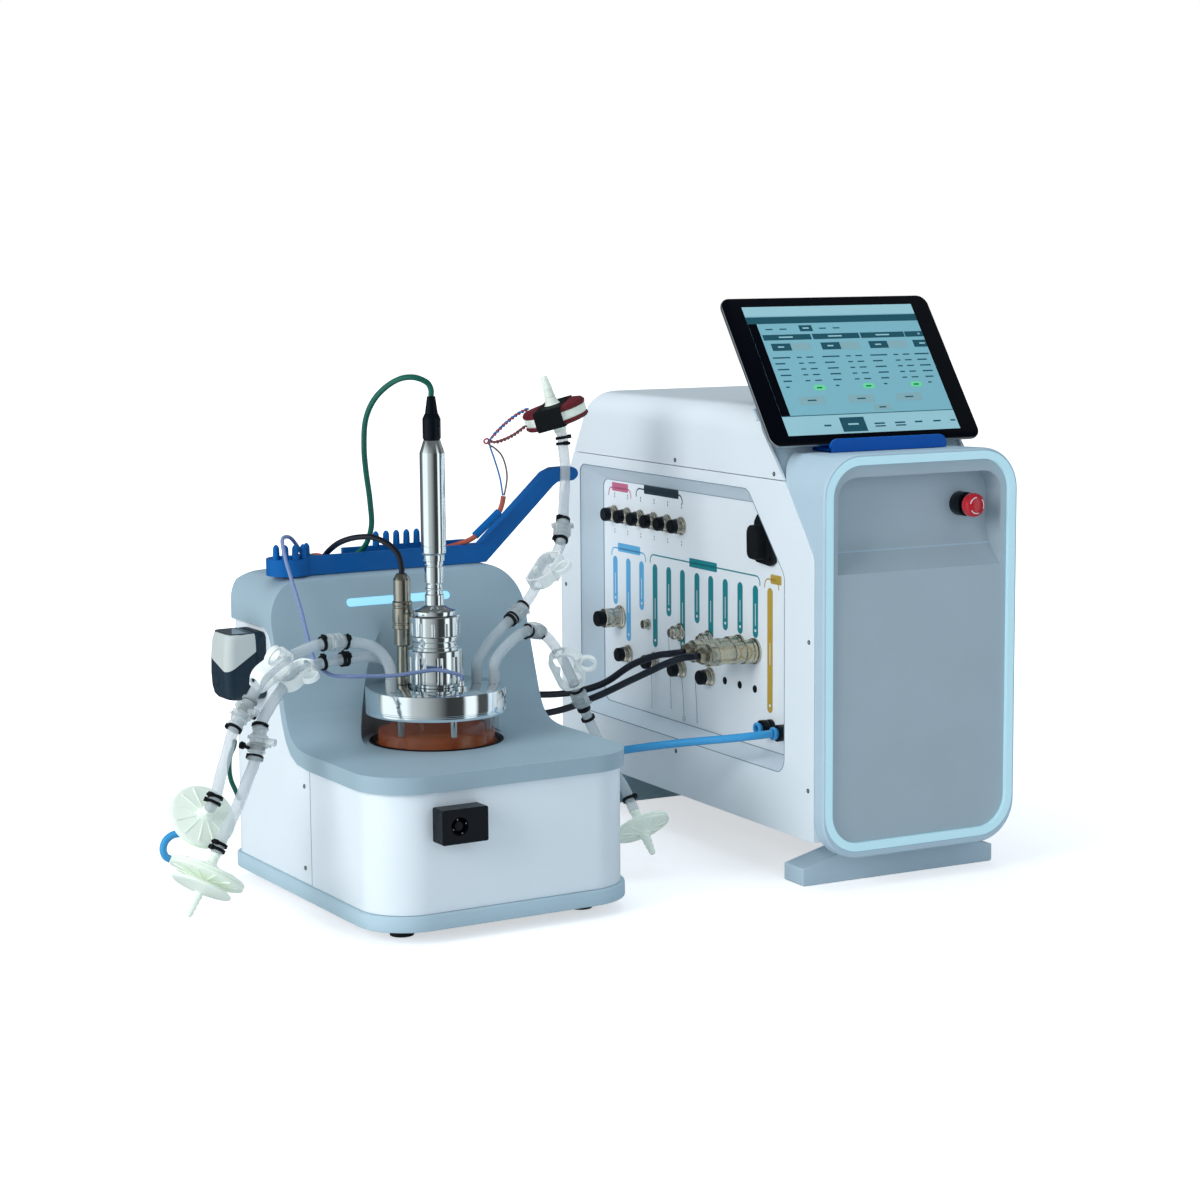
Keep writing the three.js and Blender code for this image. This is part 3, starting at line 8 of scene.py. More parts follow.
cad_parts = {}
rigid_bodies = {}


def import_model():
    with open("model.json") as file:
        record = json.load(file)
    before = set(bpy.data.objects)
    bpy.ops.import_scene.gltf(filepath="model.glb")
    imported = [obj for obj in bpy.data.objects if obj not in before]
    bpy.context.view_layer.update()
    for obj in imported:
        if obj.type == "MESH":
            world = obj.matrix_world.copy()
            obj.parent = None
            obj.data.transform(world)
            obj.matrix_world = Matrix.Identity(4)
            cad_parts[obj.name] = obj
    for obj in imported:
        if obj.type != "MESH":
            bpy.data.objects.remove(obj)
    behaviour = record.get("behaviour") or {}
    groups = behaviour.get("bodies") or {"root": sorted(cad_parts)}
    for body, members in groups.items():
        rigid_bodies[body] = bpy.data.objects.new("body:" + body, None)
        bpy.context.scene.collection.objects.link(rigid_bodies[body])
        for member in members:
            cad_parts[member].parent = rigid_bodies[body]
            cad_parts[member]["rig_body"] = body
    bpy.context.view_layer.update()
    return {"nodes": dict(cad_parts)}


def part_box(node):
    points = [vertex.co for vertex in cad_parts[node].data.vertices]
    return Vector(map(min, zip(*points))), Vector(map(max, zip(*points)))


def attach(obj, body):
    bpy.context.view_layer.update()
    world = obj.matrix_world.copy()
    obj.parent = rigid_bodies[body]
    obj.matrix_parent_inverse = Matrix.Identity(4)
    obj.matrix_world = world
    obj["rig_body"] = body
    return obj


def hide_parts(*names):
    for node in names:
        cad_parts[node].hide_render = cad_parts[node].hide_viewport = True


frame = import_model()
BODY = "station_and_tower"
MM = 0.001

# ---------------------------------------------------------------- places
# Lengths below are millimetres in the station's frame or the tower's, as in the part's source.
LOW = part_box("station_plinth")[0]
STATION = Matrix.Translation((LOW.x, LOW.y, 0)) @ Matrix.Scale(MM, 4)
TURN = math.radians(-2.69)
TOWER = STATION @ Matrix.Translation((442.9, -35.2, 0)) @ Matrix.Rotation(TURN, 4, "Z")
LEAN = math.radians(36.1)
TABLET = TOWER @ Matrix.Translation((-13.4, 73, 415.7)) @ Matrix.Rotation(math.pi / 2 - LEAN, 4, "X")
VX, VY = 133.5, 153
AXIS = STATION @ Matrix.Translation((VX, VY, 0))
# frames whose Z runs along X or Y, and frames whose Z runs out of a panel that faces left, right or rear
ALONG_X = Matrix(((0, 0, 1, 0), (1, 0, 0, 0), (0, 1, 0, 0), (0, 0, 0, 1)))
ALONG_Y = Matrix(((1, 0, 0, 0), (0, 0, 1, 0), (0, 1, 0, 0), (0, 0, 0, 1)))
TO_LEFT = Matrix(((0, 0, -1, 0), (-1, 0, 0, 0), (0, 1, 0, 0), (0, 0, 0, 1)))
TO_RIGHT = ALONG_X
TO_REAR = Matrix(((-1, 0, 0, 0), (0, 0, 1, 0), (0, 1, 0, 0), (0, 0, 0, 1)))


def toward(a, b):
    """A frame at a whose Z runs to b."""
    a, b = Vector(a), Vector(b)
    return Matrix.Translation(a) @ (b - a).to_track_quat("Z", "Y").to_matrix().to_4x4()


def at(x, y, z=0):
    return Matrix.Translation((x, y, z))


# ---------------------------------------------------------------- camera
scene = bpy.context.scene
CAMERA_AT = Vector((-1.276952, -2.226215, 0.604073))
YAW, PITCH, ROLL = math.radians(30.417), math.radians(7.684), math.radians(-0.443)
ahead = Vector((math.sin(YAW) * math.cos(PITCH), math.cos(YAW) * math.cos(PITCH), -math.sin(PITCH)))
level = Vector((math.cos(YAW), -math.sin(YAW), 0))
above = level.cross(ahead)
right = level * math.cos(ROLL) + above * math.sin(ROLL)
up = above * math.cos(ROLL) - level * math.sin(ROLL)
camera_data = bpy.data.cameras.new("camera")
camera_data.lens = 78.71
camera_data.sensor_width = 36
camera_data.clip_start = 0.05
camera_data.clip_end = 60
camera = bpy.data.objects.new("camera", camera_data)
camera.matrix_world = Matrix.Translation(CAMERA_AT) @ Matrix((right, up, -ahead)).transposed().to_4x4()
scene.collection.objects.link(camera)
scene.camera = camera


# ---------------------------------------------------------------- materials
# the depth of a finish's relief in metres, and the scale of its broad clouds per metre
RELIEF, CLOUDS = 0.0004, 14


def linear(rgb):
    def one(v):
        v /= 255
        return v / 12.92 if v <= 0.04045 else ((v + 0.055) / 1.055) ** 2.4
    return (*map(one, rgb), 1)


def wired(tree, target, *values, **inputs):
    """The node with its inputs, by place or by name with _ for a space, set to numbers or fed by outputs."""
    named = {key.replace("_", " "): value for key, value in inputs.items()}
    for key, value in [*enumerate(values), *named.items()]:
        if isinstance(value, bpy.types.NodeSocket):
            tree.links.new(value, target.inputs[key])
        else:
            target.inputs[key].default_value = value
    return target


def added(tree, kind, *values, operation=None, **inputs):
    """A new node of the kind, wired as above."""
    new = tree.nodes.new("ShaderNode" + kind)
    if operation:
        new.operation = operation
    return wired(tree, new, *values, **inputs)


def material(name, rgb, rough, metal=0, vary=0.05, grain=900, bump=0.03, rough_vary=0.08, glow=0, glow_rgb=None,
        slot="", **sockets):
    """A finish whose colour, roughness and relief vary softly.

    grain is the fine noise's scale per metre. slot is not used."""
    m = bpy.data.materials.new(name)
    m.use_nodes = True
    tree = m.node_tree
    place = added(tree, "TexCoord").outputs["Object"]
    fine = added(tree, "TexNoise", Vector=place, Scale=grain, Detail=3).outputs["Fac"]
    broad = added(tree, "TexNoise", Vector=place, Scale=CLOUDS, Detail=4).outputs["Fac"]
    ramp = added(tree, "ValToRGB", Fac=broad)
    for end, spot, share in zip(ramp.color_ramp.elements, (0.3, 0.7), (1 - vary, 1 + vary)):
        end.position = spot
        end.color = [min(1, c * share) for c in linear(rgb)[:3]] + [1]
    spread = added(tree, "MapRange", Value=fine, To_Min=max(0.02, rough - rough_vary),
        To_Max=min(1, rough + rough_vary))
    if bump:
        sockets["Normal"] = added(tree, "Bump", Strength=bump, Distance=RELIEF, Height=fine).outputs["Normal"]
    if glow:
        sockets.update(Emission_Color=linear(glow_rgb or rgb), Emission_Strength=glow)
    wired(tree, tree.nodes["Principled BSDF"], Base_Color=ramp.outputs["Color"], Metallic=metal,
        Roughness=spread.outputs["Result"], **sockets)
    return m


GREY = material("grey_moulding", (160, 184, 196), 0.45, vary=0.025, bump=0.12)
PLINTH = material("plinth_grey", (184, 210, 222), 0.5, vary=0.03, bump=0.1)
WHITE = material("white_panel", (236, 245, 250), 0.34, vary=0.012, grain=1100, bump=0.05)
RUBBER = material("rubber_black", (12, 16, 20), 0.72, vary=0.2, grain=1500, bump=0.3, Specular_IOR_Level=0.3)
BLACK = material("black_plastic", (2, 10, 19), 0.36, vary=0.2, grain=1200, bump=0.12, Specular_IOR_Level=0.2)
BLUE = material("blue_lacquer", (3, 94, 166), 0.4, vary=0.06, grain=700, bump=0.1, Specular_IOR_Level=0.2)
REST_BLUE = material("blue_rest", (3, 88, 178), 0.36, grain=700, bump=0.08, Specular_IOR_Level=0.2,
    slot="blue_lacquer")
LIGHT = material("light_guide", (182, 220, 230), 0.3, vary=0.01, grain=500, bump=0, glow=0.3)
STATUS = material("status_light", (160, 224, 248), 0.3, vary=0.01, grain=500, bump=0, glow=0.5, slot="light_guide")
SMOKED = material("smoked_plastic", (44, 60, 70), 0.08, grain=600, bump=0.01, rough_vary=0.03, Coat_Weight=0.3,
    slot=None)
LIGHT_EDGE = material("light_edge", (70, 150, 214), 0.35, vary=0.02, grain=500, bump=0, glow=0.12, slot="light_guide")
STEEL = material("polished_steel", (240, 246, 248), 0.09, 1, vary=0.02, grain=240, bump=0.012, rough_vary=0.03)
SATIN = material("satin_steel", (176, 182, 186), 0.3, 1, vary=0.04, grain=1800, bump=0.06)
NICKEL = material("nickel", (186, 180, 166), 0.2, 1)
# the vessel glass is tinted a dark grey-brown: painted shade, for the dark inside seen through the glass
GLASS_PAINTED_DARK = material("clear_glass", (70, 68, 62), 0.03, vary=0.01, grain=40, bump=0.01, rough_vary=0.01, Alpha=0.16,
    Specular_IOR_Level=0.9)
# the broth's orange glow is painted light, for light caught in the liquid
BROTH_PAINTED_GLOW = material("broth", (140, 54, 18), 0.08, vary=0.25, grain=200, bump=0.02, rough_vary=0.03, glow=0.1,
    glow_rgb=(214, 104, 24), Alpha=0.8)
# the bed's glow is painted light; the bed is no lamp
BED_PAINTED_GLOW = material("bed_fibre", (206, 174, 122), 0.9, vary=0.25, grain=700, bump=0.9, glow=0.15)
# grey lines: the seam between the shells, and painted shade along the recess's outer edge and its crease at the plate
SEAM_AND_EDGE_SHADE = material("recess_edge", (128, 148, 162), 0.4, vary=0.02, slot=None)
# the recess surround is made of tower grey but is coloured far lighter: painted light, against the shade under the
# recess's overhang
SURROUND_PAINTED_LIGHT = material("recess_surround_lit", (226, 239, 247), 0.45, vary=0.02, bump=0.05, slot="tower_grey")
CREAM = material("cream_plastic", (198, 206, 204), 0.42, vary=0.03, bump=0.1)
DARK = material("dark_plastic", (26, 46, 60), 0.5, vary=0.08, bump=0.2, Specular_IOR_Level=0.3)
HOSE = material("clear_hose", (214, 224, 228), 0.16, vary=0.02, grain=300, Alpha=0.5, Specular_IOR_Level=0.8)
CLEAR = material("clear_plastic", (206, 216, 218), 0.1, vary=0.02, grain=300, bump=0.02, Alpha=0.5,
    Specular_IOR_Level=0.9, slot="clear_glass")
# the filters' glow is painted light; they are no lamps
FILTER_PAINTED_GLOW = material("filter_plastic", (232, 242, 230), 0.4, vary=0.03, grain=600, bump=0.08, glow=0.12)
RED = material("red_plastic", (196, 22, 40), 0.28, grain=700, bump=0.04, Coat_Weight=0.3)
WRAP = material("heater_wrap", (108, 20, 34), 0.62, vary=0.12, bump=0.3)
GREEN = material("green_sheath", (6, 92, 76), 0.36, vary=0.08, bump=0.08)
VIOLET = material("violet_tube", (124, 142, 184), 0.26, grain=500)
ORANGE = material("orange_sheath", (170, 84, 66), 0.5, vary=0.08, bump=0.15)
FOOT_DARK = material("rear_foot_grey", (150, 178, 188), 0.5, bump=0.1, slot="dark_plastic")
WIRE_BLUE = material("wire_blue", (40, 120, 190), 0.4, slot=None)
WIRE_RED = material("wire_red", (176, 70, 84), 0.4, slot=None)
WIRE_BROWN = material("wire_brown", (118, 92, 84), 0.4, slot=None)
GAS = material("gas_blue", (60, 156, 214), 0.22, grain=500)
TOWER_GREY = material("tower_grey", (176, 192, 201), 0.45, vary=0.03, bump=0.08)
SLOPE = material("tower_slope", (188, 211, 224), 0.42, vary=0.02, bump=0.06, slot="white_panel")
CORD_BLACK = material("cord_black", (12, 20, 34), 0.4, vary=0.15, bump=0.08, slot="black_plastic")
FOOT_GREY = material("foot_grey", (196, 218, 230), 0.4, vary=0.02, bump=0.06, slot="tower_grey")
PLATE_WHITE = material("plate_white", (242, 249, 253), 0.4, vary=0.01, slot="white_panel")
# the clamps' glow is painted light; they are no lamps
CLAMP_WHITE_PAINTED_GLOW = material("clamp_white", (240, 246, 244), 0.34, vary=0.02, grain=600, bump=0.05, glow=0.06,
    slot="cream_plastic")
BRASS = material("plug_nickel", (186, 180, 160), 0.26, 1, grain=700, slot="nickel")


def ink(name, rgb, glow=0, rough=0.45):
    return material(name, rgb, rough, vary=0.015, grain=1500, bump=0, glow=glow, slot=None)


WHITE_INK = ink("white_ink", (232, 240, 242))
INK_BLUE = ink("light_blue_ink", (92, 176, 226))
INK_TEAL = ink("teal_ink", (0, 134, 144))
INK_GOLD = ink("gold_ink", (190, 158, 60))
INK_PINK = ink("pink_ink", (204, 104, 138))
INK_DARK = ink("dark_ink", (28, 48, 60))
SCREEN_BLACK = material("screen_glass", (3, 6, 14), 0.06, vary=0.02, grain=40, bump=0, rough_vary=0.02,
    Specular_IOR_Level=0.12, slot=None)
SCREEN_TEAL = ink("screen_teal", (124, 178, 190), 0.25, 0.2)
SCREEN_PALE = ink("screen_pale", (152, 196, 204), 0.25, 0.2)
SCREEN_DARK = ink("screen_dark", (30, 82, 96), 0.2, 0.2)
SCREEN_GREY = ink("screen_grey", (132, 170, 176), 0.25, 0.2)
SCREEN_GREEN = ink("screen_green", (104, 212, 146), 0.3, 0.2)
FLOOR_NEAR = 0.55
# the room's own light, and the lamps in watts
ROOM, KEY, TOP_LAMP, FILL = 0.40, 54, 18, 12


# ---------------------------------------------------------------- forms
class Form:
    """Vertices and faces of one piece, in millimetres."""

    def __init__(self):
        self.points = []
        self.faces = []

    def add(self, points, faces, matrix=None):
        first = len(self.points)
        matrix = matrix or Matrix.Identity(4)
        self.points += [matrix @ Vector(p) for p in points]
        self.faces += [tuple(i + first for i in f) for f in faces]
        return self

    def join(self, other, matrix=None):
        return self.add(other.points, other.faces, matrix)


def turned(profile, segments=64, matrix=None):
    """A profile of (radius, height) turned about Z."""
    points, rows = [], []
    for r, z in profile:
        start = len(points)
        if r < 1e-6:
            points.append((0, 0, z))
            rows.append([start] * segments)
        else:
            for i in range(segments):
                a = 2 * math.pi * i / segments
                points.append((r * math.cos(a), r * math.sin(a), z))
            rows.append(list(range(start, start + segments)))
    faces = []
    for a, b in zip(rows, rows[1:]):
        for i in range(segments):
            j = (i + 1) % segments
            face = list(dict.fromkeys((a[i], a[j], b[j], b[i])))
            if len(face) > 2:
                faces.append(face)
    return Form().add(points, faces, matrix)


def softened(profile, edge):
    """The profile with each corner cut back by edge, so that it catches the light."""
    out = [profile[0]]
    for before, here, after in zip(profile, profile[1:], profile[2:]):
        a, b, c = Vector(before), Vector(here), Vector(after)
        d, e = a - b, c - b
        if here[0] < 1e-6 or min(d.length, e.length) < 2.2 * edge:
            out.append(here)
            continue
        d, e = d.normalized() * edge, e.normalized() * edge
        out += [tuple(b + d), tuple(b + (d + e) * 0.29), tuple(b + e)]
    return out + [profile[-1]]


def lathe(profile, edge, segments=64, matrix=None):
    """The profile turned about Z, its corners softened by edge."""
    return turned(softened(profile, edge), segments, matrix)


def peg(radius, height, edge, segments=64, matrix=None):
    return lathe([(0, 0), (radius, 0), (radius, height), (0, height)], edge, segments, matrix)


def extruded(points, h0, h1, matrix=None):
    """A closed outline pushed from h0 to h1 along Z."""
    n = len(points)
    corners = [(x, y, h0) for x, y in points] + [(x, y, h1) for x, y in points]
    faces = [tuple(reversed(range(n))), tuple(range(n, 2 * n))]
    faces += [(i, (i + 1) % n, n + (i + 1) % n, n + i) for i in range(n)]
    return Form().add(corners, faces, matrix)


def block(x0, x1, y0, y1, z0, z1, matrix=None):
    return extruded([(x0, y0), (x1, y0), (x1, y1), (x0, y1)], z0, z1, matrix)


def round_rect(x0, y0, x1, y1, radii, steps=8):
    """A rectangle's outline with one radius, or one for each corner from the lower left on."""
    r = radii if isinstance(radii, (list, tuple)) else [radii] * 4
    centres = [(x0 + r[0], y0 + r[0], 180), (x1 - r[1], y0 + r[1], 270), (x1 - r[2], y1 - r[2], 0),
        (x0 + r[3], y1 - r[3], 90)]
    points = []
    for (cx, cy, start), radius in zip(centres, r):
        n = steps if radius > 0 else 0
        for i in range(n + 1):
            a = math.radians(start + (90 * i / n if n else 0))
            points.append((cx + radius * math.cos(a), cy + radius * math.sin(a)))
    return points


def swept(path, radius, sides=12, closed=False):
    """A round bar along a path."""
    path = [Vector(p) for p in path]
    n = len(path)
    normal = None
    points = []
    for i, here in enumerate(path):
        a = path[i - 1] if i or closed else here
        b = path[(i + 1) % n] if i < n - 1 or closed else here
        tangent = (b - a).normalized()
        if normal is None:
            normal = tangent.orthogonal().normalized()
        normal = (normal - tangent * normal.dot(tangent)).normalized()
        side = tangent.cross(normal)
        for k in range(sides):
            t = 2 * math.pi * k / sides
            points.append(here + (normal * math.cos(t) + side * math.sin(t)) * radius)
    faces = []
    for i in range(n if closed else n - 1):
        for k in range(sides):
            a, b = i * sides + k, i * sides + (k + 1) % sides
            c, d = ((i + 1) % n) * sides + (k + 1) % sides, ((i + 1) % n) * sides + k
            faces.append((a, b, c, d))
    if not closed:
        faces.append(tuple(reversed(range(sides))))
        faces.append(tuple(range((n - 1) * sides, n * sides)))
    return Form().add(points, faces)


def stacked(outline, rows, matrix=None):
    """Layers of an outline(inset) joined up: rows are (inset, height)."""
    points = [(x, y, h) for inset, h in rows for x, y in outline(inset)]
    n = len(outline(rows[0][0]))
    faces = [tuple(reversed(range(n))), tuple(range(len(points) - n, len(points)))]
    for k in range(len(rows) - 1):
        faces += [(k * n + i, k * n + (i + 1) % n, (k + 1) * n + (i + 1) % n, (k + 1) * n + i) for i in range(n)]
    return Form().add(points, faces, matrix)


def filled(bm, points, faces):
    """The mesh with the faces added, but for any that it already has."""
    corners = [bm.verts.new(p) for p in points]
    for face in faces:
        try:
            bm.faces.new([corners[i] for i in face])
        except ValueError:
            pass


def blank(form):
    """The form as a closed temporary object, for Boolean work in millimetres."""
    bm = bmesh.new()
    filled(bm, form.points, form.faces)
    bmesh.ops.remove_doubles(bm, verts=bm.verts, dist=1e-4)
    bmesh.ops.recalc_face_normals(bm, faces=bm.faces)
    mesh = bpy.data.meshes.new("blank")
    bm.to_mesh(mesh)
    bm.free()
    obj = bpy.data.objects.new("blank", mesh)
    scene.collection.objects.link(obj)
    return obj


def shaped(base, *steps):
    """The base form after each Boolean step, a word ("cut", "keep" or "join") and a form."""
    words = {"cut": "DIFFERENCE", "keep": "INTERSECT", "join": "UNION"}
    body = blank(base)
    used = [body]
    for word, form in steps:
        tool = blank(form)
        used.append(tool)
        step = body.modifiers.new(word, "BOOLEAN")
        step.operation = words[word]
        step.solver = "EXACT"
        step.object = tool
    result = bpy.data.meshes.new_from_object(body.evaluated_get(bpy.context.evaluated_depsgraph_get()))
    bm = bmesh.new()
    bm.from_mesh(result)
    bmesh.ops.remove_doubles(bm, verts=bm.verts, dist=0.01)
    bmesh.ops.dissolve_limit(bm, angle_limit=math.radians(0.4), verts=bm.verts, edges=bm.edges, delimit=set())
    bm.verts.index_update()
    out = Form().add([v.co.copy() for v in bm.verts], [tuple(v.index for v in f.verts) for f in bm.faces])
    bm.free()
    bpy.data.meshes.remove(result)
    for obj in used:
        mesh = obj.data
        bpy.data.objects.remove(obj)
        bpy.data.meshes.remove(mesh)
    return out


def placed(name, data, body, node):
    """A new object that rides on its body and stands for a CAD node, if one is given."""
    obj = bpy.data.objects.new(name, data)
    scene.collection.objects.link(obj)
    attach(obj, body)
    if node:
        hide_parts(node)
    return obj


def finish_mesh(name, bm, finish, body, bevel, segments, angle, node):
    """bevel is one width in mm, or passes of (width, segments, test of an edge's middle)."""
    bmesh.ops.recalc_face_normals(bm, faces=bm.faces)
    passes = bevel if isinstance(bevel, list) else [(bevel, segments, None)] if bevel else []
    back = STATION.inverted()
    for width, steps, test in passes:
        sharp = [e for e in bm.edges if len(e.link_faces) == 2 and e.calc_face_angle(0) > math.radians(angle)
            and (test is None or test(back @ ((e.verts[0].co + e.verts[1].co) / 2)))]
        if sharp:
            bmesh.ops.bevel(bm, geom=sharp, offset=width * MM, segments=steps, profile=0.6, affect="EDGES",
                clamp_overlap=True)
    mesh = bpy.data.meshes.new(name)
    bm.to_mesh(mesh)
    bm.free()
    mesh.materials.append(finish)
    mesh.shade_smooth()
    mesh.set_sharp_from_angle(angle=math.radians(46 if bevel else angle))
    obj = placed(name, mesh, body, node)
    if bevel:
        obj.modifiers.new("weighted", "WEIGHTED_NORMAL").keep_sharp = True
    return obj


def piece(name, form, matrix, finish, body=BODY, bevel=0, segments=2, angle=35, node=None):
    """A new piece made from a form, in its finish."""
    bm = bmesh.new()
    filled(bm, [matrix @ p for p in form.points], form.faces)
    bmesh.ops.remove_doubles(bm, verts=bm.verts, dist=1e-7)
    return finish_mesh(name, bm, finish, body, bevel, segments, angle, node)


def dressed(node, finish, bevel=0.6, segments=2, angle=32):
    """The CAD node's own shape with rounded edges."""
    source = frame["nodes"][node]
    bm = bmesh.new()
    bm.from_mesh(source.data)
    for f in bm.faces:
        f.material_index = 0
    bmesh.ops.remove_doubles(bm, verts=bm.verts, dist=2e-6)
    bmesh.ops.dissolve_limit(bm, angle_limit=math.radians(0.6), verts=bm.verts, edges=bm.edges, delimit=set())
    return finish_mesh(node + "_skin", bm, finish, source["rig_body"], bevel, segments, angle, node)


def circle(r, x, y, steps=96):
    return [(x + r * math.cos(2 * math.pi * i / steps), y + r * math.sin(2 * math.pi * i / steps))
        for i in range(steps)]


def filleted(corners, radii, steps=6):
    """A closed outline of corners, each rounded to its radius."""
    out = []
    n = len(corners)
    for i, r in enumerate(radii):
        here, a, b = Vector(corners[i]), Vector(corners[i - 1]), Vector(corners[(i + 1) % n])
        to_a, to_b = (a - here).normalized(), (b - here).normalized()
        half = to_a.angle(to_b) / 2
        reach = r / math.tan(half)
        centre = here + (to_a + to_b).normalized() * r / math.sin(half)
        start, end = here + to_a * reach - centre, here + to_b * reach - centre
        turn = start.angle_signed(end)
        for k in range(steps + 1):
            t = -turn * k / steps
            out.append((centre.x + start.x * math.cos(t) - start.y * math.sin(t),
                centre.y + start.x * math.sin(t) + start.y * math.cos(t)))
    return out


# a low button head with a hexagon socket
SCREW = lathe([(0, 0), (2.3, 0), (2.1, 0.7), (1.1, 0.9), (1, 0.25), (0, 0.25)], 0.12, 20)


def frame_body(node):
    return frame["nodes"][node]["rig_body"]


# ---------------------------------------------------------------- cords
STUB_TOP = 212.3
GLAND_FACE = 345.3
LEAD_DROP = [(368, 258), (364, 243), (356, 233), (GLAND_FACE + 3, 230), (GLAND_FACE, 230)]
OVER_HEAD = [(302, 309), (322, 308.5), (342, 304), (358, 292), (366.5, 275)]


def down_back(x):
    """The common end of the leads: over the head's rear edge and down to a gland."""
    return [(x, y, z) for y, z in OVER_HEAD + LEAD_DROP]


HOSE_LEFT_1 = [(84, 146, STUB_TOP), (84, 146, STUB_TOP + 6), (79, 146.5, 232), (66, 148, 244), (45, 148, 249),
    (18, 144, 251), (-6, 140, 247), (-25, 135, 241), (-46, 129, 230), (-59, 124, 218), (-74, 117, 199),
    (-86, 112, 186), (-96, 103, 168), (-103, 101, 151), (-110.5, 95.5, 134), (-114.3, 94.4, 127.2),
    (-114.9, 99.1, 123.5)]
HOSE_LEFT_2 = [(92, 162, STUB_TOP), (92, 162, STUB_TOP + 5), (87.5, 161, 226), (74, 159, 232), (52, 157, 233),
    (20, 154, 231.5), (-2, 150, 227), (-18, 144, 219), (-34, 136, 208), (-46, 128, 198), (-56, 121, 187),
    (-65, 113, 160), (-79, 100, 143), (-94, 88, 123.5), (-110, 83, 99.5), (-118, 80, 87)]
HOSE_RIGHT_1 = [(176, 152, STUB_TOP), (176, 152, STUB_TOP + 5), (181.5, 154, 225), (195, 159, 237), (214, 166, 249),
    (233, 173, 260), (250, 182, 271), (267, 192, 286), (286, 203, 301), (302, 214, 315), (312, 226, 332),
    (320, 237, 352), (324.5, 242.6, 372), (325, 243, 392), (325, 246, 410), (324.8, 247, 418), (323.3, 247.4, 423)]
HOSE_RIGHT_2 = [(187, 138, STUB_TOP), (187, 138, STUB_TOP + 5), (193, 140.5, 225), (208, 146, 235), (228, 154, 243),
    (248, 163, 241), (266, 172, 230), (282, 179, 212), (300, 186, 184), (316, 191, 152), (327, 190, 128),
    (333, 184, 111), (336, 170, 94), (337.4, 153, 80), (338, 140, 65), (338.4, 136.5, 60.5)]
SENSOR_LEAD = [(114, 181, 304.3), (114, 181, 310), (112.6, 184.6, 321), (108, 190.5, 329), (102, 198, 334),
    (96, 207, 336.7), (91, 216, 336.4), (84, 228, 334), (77.5, 240, 329), (73.5, 253, 321), (73, 268, 312),
    (73, 285, 308.6)] + down_back(73)
PROBE_LEAD = [(VX, VY, 469.3), (VX, VY, 475), (130.5, 153.7, 481), (121, 157, 486), (112, 165, 486), (104, 178, 480),
    (96.5, 195, 466), (95, 212, 446), (98.9, 225, 419), (105, 235, 397), (113, 244, 366), (117, 251, 340),
    (113, 261, 320), (103, 273, 310.5), (89, 288, 308.6)] + down_back(82)
HEATER_LEAD = [(252.7, 237, 364.2), (251, 237, 356.5), (247.8, 237.5, 348.9), (235.8, 238, 338.8),
    (220.3, 240, 325.1), (210, 252, 318.5), (200, 266, 313.5), (182, 272, 309.5), (150, 277, 308.6),
    (122, 279, 308.6), (104, 281.5, 308.6), (94, 289, 308.6)] + down_back(91)
PAIR_1 = [(238.7, 238, 419.2), (245.3, 239, 424.7), (258.1, 242, 433.7), (274.2, 245, 442.6), (286.5, 247, 446.9)]
PAIR_2 = [(239.4, 238, 417.2), (247.4, 239, 416.8), (265.7, 242, 421.7), (284.1, 247, 430.4)]
SAMPLE_TUBE = [(143, 119, 209.3), (143, 119, 213), (130, 121.5, 218), (120, 125, 220), (99, 128, 219), (79, 129, 218),
    (50, 130, 220), (34, 135, 220.5), (25, 150, 221), (20, 171, 231), (20, 186, 250), (22, 205, 274), (21, 222, 300),
    (19, 232, 322), (22, 243, 336), (34, 254, 336), (48, 266, 324), (60, 281, 311)] + down_back(64)


def from_tower(x, y, z):
    return tuple(STATION.inverted() @ TOWER @ Vector((x, y, z)))


POWER_1 = from_tower(22.5 - 0.3 - 62 - 0.3, 168.5, 206.5)
POWER_2 = from_tower(22.5 - 0.3 - 62 - 0.3, 197.7, 206.5)
POWER_LEAD_1 = [POWER_1, (POWER_1[0] - 6, POWER_1[1] + 0.3, POWER_1[2]), (397, 140, 205.5), (386, 156, 198),
    (377.5, 175, 188), (370, 205, 174), (362, 245, 156), (346, 300, 134), (312, 352, 122), (272, 378, 118),
    (246, 379, 118), (235, 371, 118), (232, GLAND_FACE + 6, 118), (232, GLAND_FACE, 118)]
POWER_LEAD_2 = [POWER_2, (POWER_2[0] - 6, POWER_2[1] + 0.3, POWER_2[2]), (400, 166, 206), (392, 180, 203),
    (380, 208, 191), (368, 245, 168), (352, 296, 152), (316, 352, 146), (272, 380, 143), (238, 383, 141),
    (219, 373, 140), (214, GLAND_FACE + 6, 140), (214, GLAND_FACE, 140)]
GAS_TUBE = [from_tower(25 - 18 - 0.3, 107, 135), (446, 71.9, 135), (434, 76.5, 134), (418, 91, 131), (400, 113, 127),
    (373, 145, 120.5), (352, 176, 113), (338, 215, 103), (326, 262, 92), (308, 318, 82), (282, 360, 76),
    (255, 381, 74), (237, 376, 74), (232, GLAND_FACE + 7, 74), (232, GLAND_FACE, 74)]


def smooth_path(points, per_span=7):
    """The centripetal spline through the points, as close points."""
    p = [Vector(q) for q in points]
    p = [2 * p[0] - p[1]] + p + [2 * p[-1] - p[-2]]
    out = []
    for a, b, c, d in zip(p, p[1:], p[2:], p[3:]):
        d0, d1, d2 = ((a - b).length ** 0.5, (b - c).length ** 0.5, (c - d).length ** 0.5)
        t1 = ((b - a) / d0 - (c - a) / (d0 + d1) + (c - b) / d1) * d1
        t2 = ((c - b) / d1 - (d - b) / (d1 + d2) + (d - c) / d2) * d1
        for i in range(per_span):
            t = i / per_span
            out.append(b + t1 * t + (3 * (c - b) - 2 * t1 - t2) * t * t + (2 * (b - c) + t1 + t2) * t ** 3)
    return out + [p[-2]]


